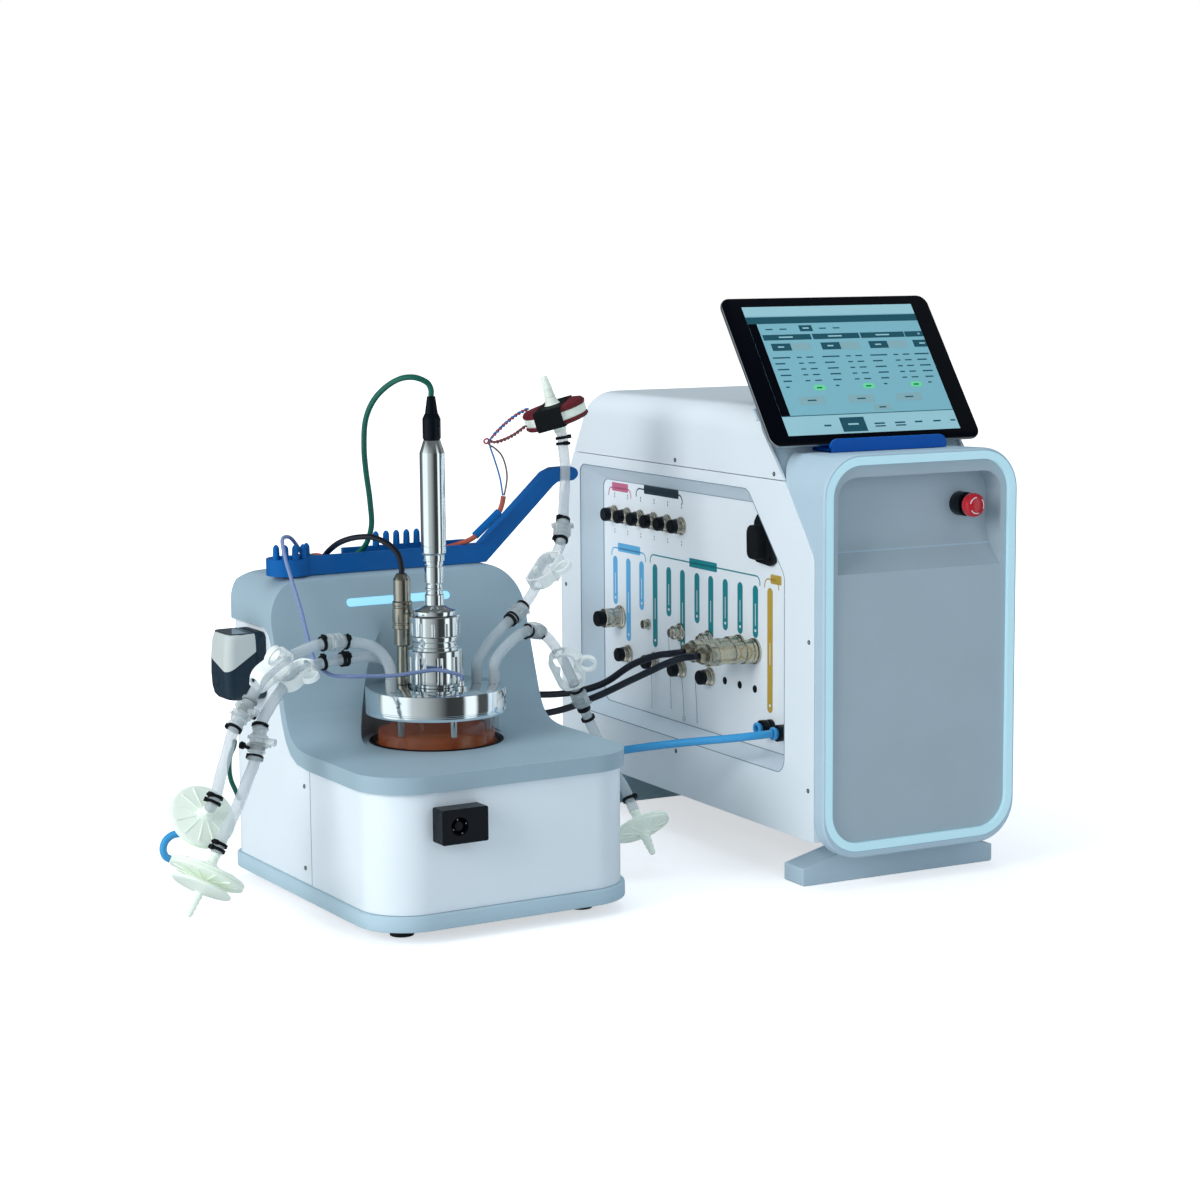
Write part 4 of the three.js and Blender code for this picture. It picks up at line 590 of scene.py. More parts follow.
def twisted(points, phase):
    """A line wound round the curve through the points, 1 mm from it after the first 8 mm."""
    pitch, lead_in = 9, 8
    path = smooth_path(points, 12)
    out, run = [], 0
    for i, q in enumerate(path):
        ahead_of = path[min(i + 1, len(path) - 1)] - path[max(i - 1, 0)]
        run += (q - path[i - 1]).length if i else 0
        side = ahead_of.cross(Vector((0, 1, 0))).normalized()
        other = ahead_of.normalized().cross(side)
        a = 2 * math.pi * run / pitch + phase
        reach = min(1, run / lead_in)
        out.append(q + side * reach * math.cos(a) + other * reach * math.sin(a))
    return out


def cord_piece(name, points, diameter, finish, node):
    path = smooth_path(points)
    curve = bpy.data.curves.new(name, "CURVE")
    curve.dimensions = "3D"
    curve.bevel_depth = diameter / 2 * MM
    curve.bevel_resolution = 4
    curve.use_fill_caps = True
    curve.twist_mode = "MINIMUM"
    spline = curve.splines.new("POLY")
    spline.points.add(len(path) - 1)
    for point, q in zip(spline.points, path):
        point.co = (*(STATION @ q), 1)
    curve.materials.append(finish)
    obj = placed(name, curve, BODY, node)


HOSE_D, WIRE_D = 10.4, 1.7

# ---------------------------------------------------------------- docking station
GAP = 0.3
W, D = 267, 343
SEAM_Y = 152.5
DECK_TOP, DECK_UNDER = 150, 134.8
HEAD_TOP, HEAD_UNDER = 300, 254.8
PLINTH_TOP = 26.4
INSET, WALL = 4, 3
NICHE_R, HOLE_R = 70, 62.8
LIGHT_Z = 273.5
FAR = 900


def wall_y(z):
    return 196 + 0.342 * (z - 180)


def footprint(inset, steps=14):
    front, rear = 50 - inset, 30 - inset
    return round_rect(inset, inset, W - inset, D - inset, [front, front, rear, rear], steps)


def bowed(points, per_span=4):
    """Extra points along a smooth curve through the given ones."""
    return [(q.x, q.y) for q in smooth_path([(a, b, 0) for a, b in points], per_span)]


plinth = stacked(footprint, [(1.6, 12), (0.5, 12.5), (0, 13.4), (0, 24.6), (0.4, 25.8), (1.2, PLINTH_TOP)])
piece("plinth_moulded", plinth, STATION, PLINTH)
feet = Form()
for x, y in ((42, 46), (W - 42, 46), (42, D - 42), (W - 42, D - 42)):
    feet.join(lathe([(0, 0), (11, 0), (9.5, 12), (0, 12)], 0.8, 40), at(x, y))
piece("plinth_feet", feet, STATION, RUBBER, node="station_plinth")

shell_z0, shell_z1 = PLINTH_TOP + GAP, DECK_UNDER - GAP
front_half = block(-FAR, FAR, -FAR, SEAM_Y, 0, FAR)
shell_front = shaped(extruded(footprint(INSET), shell_z0, shell_z1), ("keep", front_half),
    ("cut", extruded(footprint(INSET + WALL), shell_z0 - 1, shell_z1 + 1)), ("cut", block(60, 92, -5, 20, 96, 116)))
piece("front_shell_panel", shell_front, STATION, WHITE, bevel=0.4, angle=40, node="station_front_shell")

underside = [(150, DECK_UNDER), (172, DECK_UNDER + 2), (186, 143), (196, 154), (204, 170), (wall_y(240) + 9, 240),
    (wall_y(240) + 14, 249), (wall_y(240) + 24, HEAD_UNDER)]
front_face = bowed([(148, DECK_TOP), (160, DECK_TOP + 0.8), (172, DECK_TOP + 3.2), (182, DECK_TOP + 8),
    (190, DECK_TOP + 17), (196, 180)], 4)
head_y = wall_y(HEAD_TOP - 8)
front_face += bowed([(head_y, HEAD_TOP - 8), (head_y + 1.3, HEAD_TOP - 4.6), (head_y + 4, HEAD_TOP - 2),
    (head_y + 10, HEAD_TOP)], 3)
head_rear = bowed([(D - 26, HEAD_TOP), (D - 12, HEAD_TOP - 4), (D - 3, HEAD_TOP - 13), (D, HEAD_TOP - 26)],
    4) + [(D, HEAD_UNDER)]
deck_front = [(0, DECK_UNDER), (0, DECK_TOP)]
moulding_side = deck_front + front_face + head_rear + underside[::-1]
bulk_side = deck_front + front_face + head_rear + [(D, DECK_UNDER)]
head_front = round_rect(0, 0, W, HEAD_TOP, [0, 0, 42, 42], 14)
light_y = wall_y(LIGHT_Z)


def light_slot(inset):
    half, h = 54.5 - inset, 4 - inset
    return round_rect(VX - half, LIGHT_Z - h, VX + half, LIGHT_Z + h, h - 0.2, 8)


liner = shaped(extruded(circle(NICHE_R + 3, VX, VY), DECK_UNDER, 262),
    ("keep", extruded(bulk_side, 20, W - 20, ALONG_X)))
moulding = shaped(extruded(moulding_side, 0, W, ALONG_X), ("keep", extruded(footprint(0), 0, FAR)),
    ("keep", extruded(head_front, -5, D + 5, ALONG_Y)), ("join", liner),
    ("cut", extruded(circle(NICHE_R, VX, VY), DECK_TOP, 290)), ("cut", extruded(circle(HOLE_R, VX, VY), 100, 290)),
    ("cut", extruded(light_slot(0), light_y - 8, light_y + 3.5, ALONG_Y)))


def on_rim(p):
    """The moulding's outer edges, which are rounded more than those of the niche, hole and slot."""
    near_side = min(p.x, W - p.x) < 0.6 or p.y < 0.6 or p.z > HEAD_TOP - 40 and abs(p.x - VX) > W / 2 - 43
    corner = math.hypot(max(0, 50 - min(p.x, W - p.x)), max(0, 50 - p.y)) > 49.2 and p.y < 50
    return (near_side or corner) and p.z > DECK_UNDER + 1


piece("top_moulding_cast", moulding, STATION, GREY, angle=28, bevel=[(4, 4, on_rim),
    (0.7, 2, lambda p: not on_rim(p))], node="station_top_moulding")
light_face = [(wall_y(LIGHT_Z - 8) - 0.3, LIGHT_Z - 8), (wall_y(LIGHT_Z + 8) - 0.3, LIGHT_Z + 8),
    (light_y + 3.2, LIGHT_Z + 8), (light_y + 3.2, LIGHT_Z - 8)]
light_bar = shaped(extruded(light_slot(GAP), light_y - 8, light_y + 3.2, ALONG_Y),
    ("keep", extruded(light_face, 0, W, ALONG_X)))
piece("status_light_bar", light_bar, STATION, STATUS, bevel=0.25, node="station_status_light")

rear_side = [(SEAM_Y + 0.5, shell_z0), (SEAM_Y + 0.5, DECK_UNDER - 0.5)]
rear_side += [(y + 0.6, z - 0.6) for y, z in underside[1:]]
rear_side += [(D, HEAD_UNDER - 0.6), (D, shell_z0)]
rear = shaped(extruded(rear_side, 0, W, ALONG_X), ("keep", extruded(footprint(INSET), 0, FAR)),
    ("cut", extruded(circle(NICHE_R + 4, VX, VY), shell_z0 - 1, 270)))
piece("rear_shell_panel", rear, STATION, WHITE, bevel=0.5, node="station_rear_shell")
GLANDS = [(64, 230), (73, 230), (82, 230), (91, 230), (W - 35, 118), (W - 53, 140), (W - 35, 74)]
glands = Form()
for x, z in GLANDS:
    glands.join(lathe([(0, 0), (4.2, 0), (4.2, 2.6), (3.7, 3), (3.7, 6), (0, 6)], 0.3, 24),
        at(x, D - INSET, z) @ TO_REAR)
piece("rear_glands", glands, STATION, BLACK)

# screws in the shells' sides
screws = Form()
for y, z in ((164.8, 117.5), (166.1, 41)):
    screws.join(SCREW, at(INSET, y, z) @ TO_LEFT)
    screws.join(SCREW, at(W - INSET, y, z) @ TO_RIGHT)
piece("shell_screws", screws, STATION, SATIN)
seam = Form()
for x in (INSET - 0.1, W - INSET - 0.5):
    seam.join(block(x, x + 0.6, SEAM_Y - 0.1, SEAM_Y + 0.7, shell_z0 + 0.5, shell_z1 - 0.5))
piece("shell_seam", seam, STATION, SEAM_AND_EDGE_SHADE)

# ---------------------------------------------------------------- front socket box
SX0, SX1, SZ0, SZ1, SOCKET_Y = 53, 98, 90.5, 121.5, -15
PORT_X, PORT_Z = 70, 106
box = shaped(extruded(round_rect(SX0, SZ0, SX1, SZ1, 1.8, 6), SOCKET_Y, INSET - GAP, ALONG_Y),
    ("cut", extruded(circle(8.2, PORT_X, PORT_Z, 48), SOCKET_Y - 1, SOCKET_Y + 9, ALONG_Y)))
box.join(peg(4.4, 14, 0.5, 32), at(PORT_X, SOCKET_Y + 2, PORT_Z) @ TO_REAR)
box.join(turned([(7.4, 0), (8.1, 0), (8.1, 1), (7.4, 1), (7.4, 0)], 48), at(PORT_X, SOCKET_Y + 2, PORT_Z) @ TO_REAR)
piece("socket_box_moulded", box, STATION, BLACK, bevel=0.7, segments=3, angle=50, node="front_socket_box")
pins = Form()
for a in (20, 110, 200, 290):
    a = math.radians(a)
    pins.join(peg(0.7, 1.2, 0.2, 12), at(PORT_X + 6.6 * math.cos(a), SOCKET_Y + 0.1,
        PORT_Z + 6.6 * math.sin(a)) @ TO_REAR)
for z in (118, 94):
    pins.join(peg(0.9, 1, 0.2, 12), at(SX0, SOCKET_Y + 4, z) @ TO_RIGHT)
piece("socket_pins", pins, STATION, SATIN)

# ---------------------------------------------------------------- pump
PUMP_Y, PUMP_Z0, PUMP_Z1 = 245, 186, 250
ROTOR_Y, ROTOR_Z = 266, 214
BAY_X0, BAY_X1, BAY_R = -30.8, -11, 16.5
RISE_BACK, RISE_SIDE = 0.65, 0.3


def above_lip(gap):
    """Everything above the slanted lip of the pump's cover."""
    low = 212.5 + gap
    corners = [(-40, 240), (8, 240), (8, 305), (-40, 305)]
    base = [(x, y, low + RISE_BACK * (x + 36) + RISE_SIDE * (y - PUMP_Y)) for x, y in corners]
    return Form().add(base + [(x, y, 320) for x, y in corners], [(3, 2, 1, 0), (4, 5, 6, 7), (0, 1, 5, 4),
        (1, 2, 6, 5), (2, 3, 7, 6), (3, 0, 4, 7)])


def pump_outline(s, steps=8):
    return round_rect(-36 + s, PUMP_Y + s, 30, PUMP_Y + PUMP_W - s, [9, 0, 0, 13], steps)


PUMP_SPLIT, PUMP_W = -6, 49
barrel = stacked(pump_outline, [(9, PUMP_Z0), (4.6, PUMP_Z0 + 1.6), (2, PUMP_Z0 + 5), (0.6, PUMP_Z0 + 12),
    (0, PUMP_Z0 + 24), (0.3, PUMP_Z0 + 42), (1.4, PUMP_Z1 - 8), (2.8, PUMP_Z1 - 2.6), (4, PUMP_Z1 - 1.2)])
pump_front = shaped(barrel, ("keep", block(-FAR, PUMP_SPLIT, -FAR, FAR, 0, FAR)))
bay = extruded(circle(BAY_R, ROTOR_Y, ROTOR_Z, 64), BAY_X0, BAY_X1, ALONG_X)
mouth = block(BAY_X0, BAY_X1, ROTOR_Y - BAY_R, ROTOR_Y + BAY_R, ROTOR_Z, PUMP_Z1 - 6)
cover = shaped(pump_front, ("keep", above_lip(0)), ("cut", bay), ("cut", mouth))
piece("pump_cover_shell", cover, STATION, CREAM, body=frame_body("pump_cover"), bevel=1.3, segments=4, angle=40,
    node="pump_cover")
smoked = extruded(filleted([(-31.5, PUMP_Y + 5), (-20, PUMP_Y + 3.6), (-6.4, PUMP_Y + 4), (-6.4, PUMP_Y + PUMP_W - 4),
    (-31.5, PUMP_Y + PUMP_W - 5)], [7, 20, 0.5, 0.5, 7], 8), PUMP_Z1 - 2.4, PUMP_Z1 - 0.2)
piece("pump_top_window", smoked, STATION, SMOKED, body=frame_body("pump_cover"), bevel=0.7)
below = shaped(pump_front, ("cut", above_lip(-0.5)), ("cut", bay), ("cut", mouth))
piece("pump_housing_lower", below, STATION, DARK, bevel=1.3, segments=4, angle=40)
boss = lathe([(0, 0), (6.4, 0), (6.4, 0.8), (5.4, 1.4), (0, 1.4)], 0.3, 40)
piece("pump_face_boss", boss, STATION @ at(-35.4, ROTOR_Y + 6, 205) @ TO_LEFT, DARK)
spine = extruded(round_rect(PUMP_Y, PUMP_Z0, PUMP_Y + PUMP_W, PUMP_Z1, [9, 9, 7, 7], 8), PUMP_SPLIT + 0.5,
    INSET - GAP, ALONG_X)
piece("pump_housing_back", spine, STATION, DARK, bevel=1.6, segments=3, node="pump_body")
dressed("pump_rotor", SATIN, bevel=0.3)

# ---------------------------------------------------------------- stirrer drive under the vessel
dressed("vessel_seat", SATIN, bevel=0.3)
dressed("drive_magnet", SATIN, bevel=0.3)
dressed("impeller", STEEL, bevel=0.3)

# ---------------------------------------------------------------- cable tray
TRAY_Z, TRAY_FRONT, TRAY_BACK, TRAY_END = HEAD_TOP + GAP, D - 100, D - 51, W - 31
POD = (34, TRAY_FRONT + 15)
tooth = lathe([(0, 0), (3.4, 0), (3, 12), (1.6, 14.4), (0, 15)], 0.5, 20)
arm_side = [(208, TRAY_Z), (236, TRAY_Z)] + bowed([(312, 371), (318, 374.5), (334, 375), (339, 378.5), (340, 382),
    (338, 386), (333, 388.5)], 3)
arm_side += [(314, 388), (304, 384), (232, TRAY_Z + 18), (208, TRAY_Z + 18)]
pod = turned([(0, 0), (21, 0), (21, 16), (15, 16), (15, 13), (0, 13)], 72)
tray = shaped(extruded(round_rect(28, TRAY_FRONT, TRAY_END, TRAY_BACK, 4, 6), TRAY_Z, TRAY_Z + 4),
    ("join", block(32, TRAY_END, TRAY_FRONT, TRAY_FRONT + 5, TRAY_Z, TRAY_Z + 18)),
    ("join", block(104, TRAY_END, TRAY_BACK - 5, TRAY_BACK, TRAY_Z, TRAY_Z + 18)),
    ("join", extruded(arm_side, TRAY_FRONT, TRAY_FRONT + 14, ALONG_Y)),
    ("cut", turned([(0, 360), (5.9, 360), (5.9, 400), (0, 400)], 32, at(325, TRAY_FRONT))))
piece("tray_moulded", tray, STATION, BLUE, bevel=1.1, segments=3, angle=40, node="cable_tray")
comb = Form().join(pod, at(*POD, TRAY_Z))
for i in range(5):
    a = math.radians(205 + 32 * i)
    comb.join(tooth, at(POD[0] + 17 * math.cos(a), POD[1] + 17 * math.sin(a), TRAY_Z + 15))
    comb.join(tooth, at(140 + 11 * i, TRAY_BACK - 2.5, TRAY_Z + 17))
piece("tray_comb", comb, STATION, BLUE, bevel=0.6, angle=50)

# ---------------------------------------------------------------- vessel
piece("vessel_wall", lathe([(0, 44), (55.5, 44), (58.5, 47), (58.5, 176.7), (54.5, 176.7), (54.5, 50), (52, 48),
    (0, 48)], 0.4, 128), AXIS, GLASS_PAINTED_DARK, node="vessel_glass")
piece("seal_ring", lathe([(58.8, 146), (62.5, 146), (62.5, 150.8), (58.8, 150.8), (58.8, 146)], 0.4, 128), AXIS,
    RUBBER, node="vessel_seal_ring")
dressed("bed_basket", SATIN, bevel=0)
dressed("carrier_bed", BED_PAINTED_GLOW, bevel=0)
piece("culture_liquid_body", lathe([(0, 66.6), (54.1, 66.6), (54.1, 160), (0, 160)], 0.6, 96), AXIS, BROTH_PAINTED_GLOW,
    node="culture_liquid")

STUBS = ((84, 146), (92, 162), (176, 152), (187, 138))
lid = lathe([(0, 177), (65.5, 177), (65.5, 180.5), (64.7, 181), (64.7, 182), (65.5, 182.5), (65.5, 200), (0, 200)],
    0.5, 160, at(VX, VY))
for x, y in STUBS:
    lid.join(lathe([(0, 199), (4.4, 199), (4.4, 203), (4, 203.4), (3.2, 206), (3.6, 207), (3.2, 208), (3.6, 209),
        (3.2, 210), (3.6, 211), (2.9, 212), (0, 212)], 0.2, 24), at(x, y))
lid.join(lathe([(0, 199), (4.6, 199), (4.6, 204), (2.4, 204.2), (2.4, 209), (0, 209)], 0.3, 24), at(143, 119))
dip = math.radians(-98)
lid.join(turned([(0, 68), (2.8, 68), (3.3, 68.5), (3.3, 178), (0, 178)], 24),
    at(VX + 49 * math.cos(dip), VY + 49 * math.sin(dip)))
piece("lid_turned", lid, STATION, STEEL, node="vessel_lid")


def notched(rows, segments, radius):
    """Rows of (radius, height) joined up round Z; radius(k, r, z, i) is row k's radius at step i."""
    points, faces = [], []
    for k, (r, z) in enumerate(rows):
        for i in range(segments):
            a = 2 * math.pi * i / segments
            q = radius(k, r, z, i)
            points.append((q * math.cos(a), q * math.sin(a), z))
    for first in range(0, (len(rows) - 1) * segments, segments):
        for i in range(segments):
            j = (i + 1) % segments
            faces.append((first + i, first + j, first + segments + j, first + segments + i))
    return Form().add(points, faces)


def fluted(r, z0, z1, count, flute_r):
    """A turned nut with flutes cut up its skirt to a plain band at its top."""
    segments, top, edge = 360, 6, 1

    def depth(a, z):
        if z > z1 - top:
            return 0
        c = r + flute_r * 0.55
        step = 2 * math.pi / count
        off = (a + step / 2) % step - step / 2
        reach = c * math.sin(abs(off))
        if reach >= flute_r:
            return 0
        return max(0, r - (c * math.cos(off) - math.sqrt(flute_r ** 2 - reach ** 2)))

    def radius(k, rr, z, i):
        return rr - depth(2 * math.pi * i / segments, z) if rr > r - 1.5 else rr
    rows = [(0, z0), (r - edge, z0), (r, z0 + edge), (r, z1 - top), (r, z1 - top + 0.01), (r, z1 - edge),
        (r - edge, z1), (0, z1)]
    return notched(rows, segments, radius)


nut = fluted(25.7, 203.8, 235.8, 10, 4)
nut.join(lathe([(0, 200.3), (19, 200.3), (19, 204.8), (0, 204.8)], 0.4, 96))
nut.join(lathe([(0, 234.8), (21.8, 234.8), (21.8, 238), (20.8, 238.4), (20.8, 243), (21.8, 243.6), (21.8, 247.8),
    (0, 247.8)], 0.4, 96))
piece("clamp_nut_turned", nut, AXIS, STEEL, node="lid_clamp_nut")
piece("cap_nut_turned", fluted(23.6, 248.1, 267.1, 12, 1.8), AXIS, STEEL, node="probe_cap_nut")
piece("holder_turned", lathe([(0, 267.4), (20.3, 267.4), (20.3, 271.4), (13.8, 273.4), (8.8, 276.4), (8.8, 286),
    (7.8, 286.6), (7.8, 290), (8.4, 290.4), (8.4, 292), (7.8, 292.4), (7.8, 296), (8.8, 297), (8.8, 312),
    (8.1, 312.4), (8.1, 313.6), (8.8, 314), (8.8, 317), (0, 317)], 0.25, 96), AXIS, STEEL, node="probe_holder")
piece("probe_turned", lathe([(0, 317.3), (10, 317.3), (10, 323), (11.6, 325), (11.6, 331), (11.3, 331.3), (11.3, 332),
    (11.6, 332.3), (11.6, 417), (7.8, 428.8), (0, 428.8)], 0.3, 96), AXIS, STEEL, node="probe_body")
piece("gland_turned", lathe([(0, 429.1), (7.6, 429.1), (8.4, 430.8), (8.4, 448.5), (6.6, 452.5), (6, 453), (3.8, 469),
    (0, 469)], 0.3, 64), AXIS, BLACK, node="probe_gland")
sensor = [(0, 200.3), (7.5, 200.3), (7.5, 208), (5.6, 209), (5.6, 236), (8, 237), (8, 252), (9.5, 252.5), (9.5, 256),
    (9, 256.4), (9, 258), (9.5, 258.4), (9.5, 272), (9, 272.4), (9, 274), (9.5, 274.4), (9.5, 277.5), (8.1, 278.5),
    (8.1, 298), (5, 304), (0, 304)]
piece("sensor_turned", lathe(sensor, 0.25, 64), STATION @ at(114, 181), NICKEL, node="lid_sensor")

ends = Form()
for x, y in STUBS:
    ends.join(turned([(4.5, 200.3), (5.2, 200.3), (5.2, 212), (4.5, 212), (4.5, 200.3)], 32, at(x, y)))
piece("hose_ends_on_stubs", ends, STATION, HOSE)

# ---------------------------------------------------------------- control tower
RING_W, RING_Z0, RING_Z1, RING_R, BAND = 214.4, 36.8, 409.4, 38, 8
BODY_X0, BODY_X1, BODY_BOTTOM, BODY_FRONT, BODY_REAR = -3, 217.4, 46, 16, 535
ROOF_Z, ROOF_R, SEAM_Z = 451, 26, 384
PLATE_X, PLATE_T = 25, 2.5
BEZEL_BOTTOM, BEZEL_TOP, BEZEL_OUT = 30, 412, 2.4
FIELD_Y, PITCH = 168.5, 29.2
ROW_TOP, ROW_MID, ROW_LOW = 317.5, 206.5, 168.5
SLOPE_LINE = [(18, 318), (39.3, 346), (73, 388), (127, 448)]

housing_side = [(BODY_FRONT, BODY_BOTTOM), (BODY_FRONT, 312)] + bowed([(18, 318), (39.3, 346), (73, 388),
    (124, 444.7)], 3)
housing_side += bowed([(127, 447.6), (130, 449.8), (135, ROOF_Z)], 3) + bowed([(450, ROOF_Z), (460, ROOF_Z - 3),
    (467, ROOF_Z - 11)], 3)
housing_side += [(529, 338), (BODY_REAR - 1, 329), (BODY_REAR, 318), (BODY_REAR, 78), (527, 56), (505, BODY_BOTTOM)]
housing_front = round_rect(BODY_X0, BODY_BOTTOM - 5, BODY_X1, ROOF_Z, [0, 0, ROOF_R, ROOF_R], 14)


def housing():
    return shaped(extruded(housing_side, BODY_X0, BODY_X1, ALONG_X),
        ("keep", extruded(housing_front, -FAR, FAR, ALONG_Y)))


def slope_band(near, far):
    return [(y + near, z) for y, z in SLOPE_LINE] + [(y + far, z) for y, z in SLOPE_LINE[::-1]]


def recess_outline(s, steps=8):
    """The opening in the left side as (y, z), s in from its edge."""
    return filleted([(487.7 - s, 103 + s), (487.7 - s, 371.6 - s), (136 + 0.45 * s, 371.6 - s),
        (68 + s, 294.2 - 0.38 * s), (68 + s, 103 + s)], [13 - s, 10 - s, 17 - s, 16 - s, 15 - s], steps)


def ring_outline(s, steps=14):
    return round_rect(s, RING_Z0 + s, RING_W - s, RING_Z1 - s, RING_R - s, steps)


panel_pocket = extruded(ring_outline(-1.5), 0, 33, ALONG_Y)
slope_pocket = extruded(slope_band(-20, 7.3), 0, RING_W, ALONG_X)
lower = block(-FAR, FAR, -FAR, FAR, 0, SEAM_Z - 0.8)
side_panel = shaped(housing(), ("keep", lower), ("cut", panel_pocket), ("cut", slope_pocket),
    ("keep", block(-FAR, PLATE_X + PLATE_T, -FAR, FAR, -FAR, FAR)),
    ("cut", extruded(recess_outline(0), -FAR, FAR, ALONG_X)))
piece("side_panel_white", side_panel, TOWER, WHITE, bevel=1.1, segments=3, node="tower_side_panel")
core = shaped(housing(), ("keep", lower), ("cut", panel_pocket), ("cut", slope_pocket),
    ("keep", block(PLATE_X + PLATE_T + GAP, FAR, -FAR, FAR, -FAR, FAR)))
piece("housing_core", core, TOWER, WHITE, bevel=1.1, segments=3, node="tower_body")
roof = shaped(housing(), ("keep", block(-FAR, FAR, -FAR, FAR, SEAM_Z, FAR)), ("cut", slope_pocket))
piece("roof_cover", roof, TOWER, WHITE, bevel=0.7, segments=3, node="tower_roof")

bezel_side = [(0.2, BEZEL_BOTTOM), (0.2, BEZEL_TOP), (50, BEZEL_TOP - 2.5), (55, 409), (89.7, 408.2), (72.7, 388),
    (39, 346), (17.7, 318), (BODY_FRONT - GAP, 312), (BODY_FRONT - GAP, BEZEL_BOTTOM)]


def bezel_outline(s, steps=14):
    return round_rect(s - BEZEL_OUT, BEZEL_BOTTOM + s, RING_W + BEZEL_OUT - s, BEZEL_TOP - s, RING_R + BEZEL_OUT - s,
        steps)


bezel = shaped(stacked(bezel_outline, [(1.8, 0.2), (0.9, 0.9), (0.3, 2), (0, 3.4), (0, 100)], ALONG_Y),
    ("keep", extruded(bezel_side, -FAR, FAR, ALONG_X)), ("cut", extruded(ring_outline(-GAP), -5, 34, ALONG_Y)))
bezel.join(extruded(slope_band(3, 7), 1, RING_W - 1, ALONG_X))
piece("bezel_frame", bezel, TOWER, SLOPE, bevel=0.3, angle=40, node="tower_bezel")
glow = shaped(extruded(ring_outline(0), 0, 6, ALONG_Y), ("cut", extruded(ring_outline(BAND), -1, 7, ALONG_Y)))
piece("light_ring_guide", glow, TOWER, LIGHT, bevel=0.5, node="tower_light_ring")
for name, s in (("light_ring_outer_edge", 0.9), ("light_ring_inner_edge", BAND - 1.7)):
    line = shaped(extruded(ring_outline(s), 0.02, 0.3, ALONG_Y),
        ("cut", extruded(ring_outline(s + 0.9), -1, 1, ALONG_Y)))
    piece(name, line, TOWER, LIGHT_EDGE)

PANEL_Y, FIELD_BACK = 4, 32
INNER_X0, INNER_X1 = 15, RING_W - 15
cove = bowed([(2, 300), (4.01, 300), (8, 303), (16, 311), (23, 321), (27, 332), (28, 343)], 4)
cove += [(28, 392), (2, 392)]
niche_form = shaped(extruded(cove, INNER_X0, INNER_X1, ALONG_X), ("keep",
    extruded(round_rect(INNER_X0, 290, INNER_X1, 390, [0, 0, 20, 20], 12), -5, 60, ALONG_Y)))
ESTOP = (RING_W - 46.4, 357.5)
panel = shaped(extruded(ring_outline(BAND + GAP), PANEL_Y, BODY_FRONT - 1, ALONG_Y),
    ("join", extruded(round_rect(INNER_X0 - 4, 296, INNER_X1 + 4, 397, 12, 8), PANEL_Y + 4, FIELD_BACK, ALONG_Y)),
    ("cut", niche_form), ("cut", extruded(circle(8, *ESTOP, 48), 10, 60, ALONG_Y)))
piece("front_panel_moulded", panel, TOWER, TOWER_GREY, bevel=1.5, segments=3, angle=30, node="tower_front_panel")
collar = lathe([(6, 0), (10.5, 0), (11.5, 1.2), (11.5, 14), (6, 14), (6, 0)], 0.3, 64)
piece("estop_collar_black", collar, TOWER @ at(ESTOP[0], 14, ESTOP[1]) @ TO_REAR, BLACK)
mushroom = [(0, 0), (3.5, 0.1), (7, 0.6), (9.6, 1.7), (11, 3.4), (11.4, 5.2), (11.4, 9.3), (11, 10.4), (10.2, 11),
    (5.4, 11), (5.4, 26), (0, 26)]
button = turned(mushroom, 72)
place = TOWER @ at(ESTOP[0], -2.2, ESTOP[1]) @ TO_REAR
piece("estop_mushroom", button, place, RED, body=frame_body("estop_button"), node="estop_button")
arrows = Form()
for i in range(3):
    a0 = math.radians(120 * i + 15)
    arc = [(7.7 * math.cos(a0 + math.radians(10 * k)), 7.7 * math.sin(a0 + math.radians(10 * k)), 0.86)
        for k in range(8)]
    arrows.join(swept(arc, 0.45, 8))
piece("estop_arrows", arrows, place, WHITE_INK, body=frame_body("estop_button"))

# ---------------------------------------------------------------- connector field
plate = extruded(recess_outline(GAP, 8), PLATE_X, PLATE_X + PLATE_T, ALONG_X)
for k in range(3):
    plate = shaped(plate, ("cut", extruded(circle(3, FIELD_Y + PITCH * k, ROW_LOW, 32), PLATE_X - 1, PLATE_X + 4,
        ALONG_X)))
piece("connector_plate_white", plate, TOWER, PLATE_WHITE, bevel=0.2, node="connector_plate")
mouth, sill = [], []
for y, z in recess_outline(0.35, 8):
    mouth.append((BODY_X0 + 0.5, y, z))
    sill.append((PLATE_X - 0.2, 69 + (y - 68) * (485.9 - 69) / (487.7 - 68),
        111 + (z - 103) * (354.5 - 111) / (371.6 - 103)))
count = len(mouth)
surround = mouth + sill + [(PLATE_X - 0.2, y, z) for _, y, z in mouth]
sides = [(a * count + i, a * count + (i + 1) % count, b * count + (i + 1) % count, b * count + i)
    for a, b in ((0, 1), (1, 2), (2, 0)) for i in range(count)]
# the surround's colour has light painted into it
piece("recess_surround_lit", Form().add(surround, sides), TOWER, SURROUND_PAINTED_LIGHT)
# thin grey lines round the recess's mouth and along its crease at the plate: painted shade
rims = swept([(BODY_X0 + 0.15, y, z) for _, y, z in mouth], 0.45, 8, closed=True)
rims.join(swept(sill, 0.5, 8, closed=True))
piece("recess_edge_shade_lines", rims, TOWER, SEAM_AND_EDGE_SHADE)
holes = Form()
for k in range(3):
    holes.join(peg(3.9, 0.5, 0.2, 32), at(PLATE_X + 0.1, FIELD_Y + PITCH * k, ROW_LOW) @ TO_LEFT)
piece("small_port_cores", holes, TOWER, BLACK)


def column(k):
    return FIELD_Y + PITCH * k


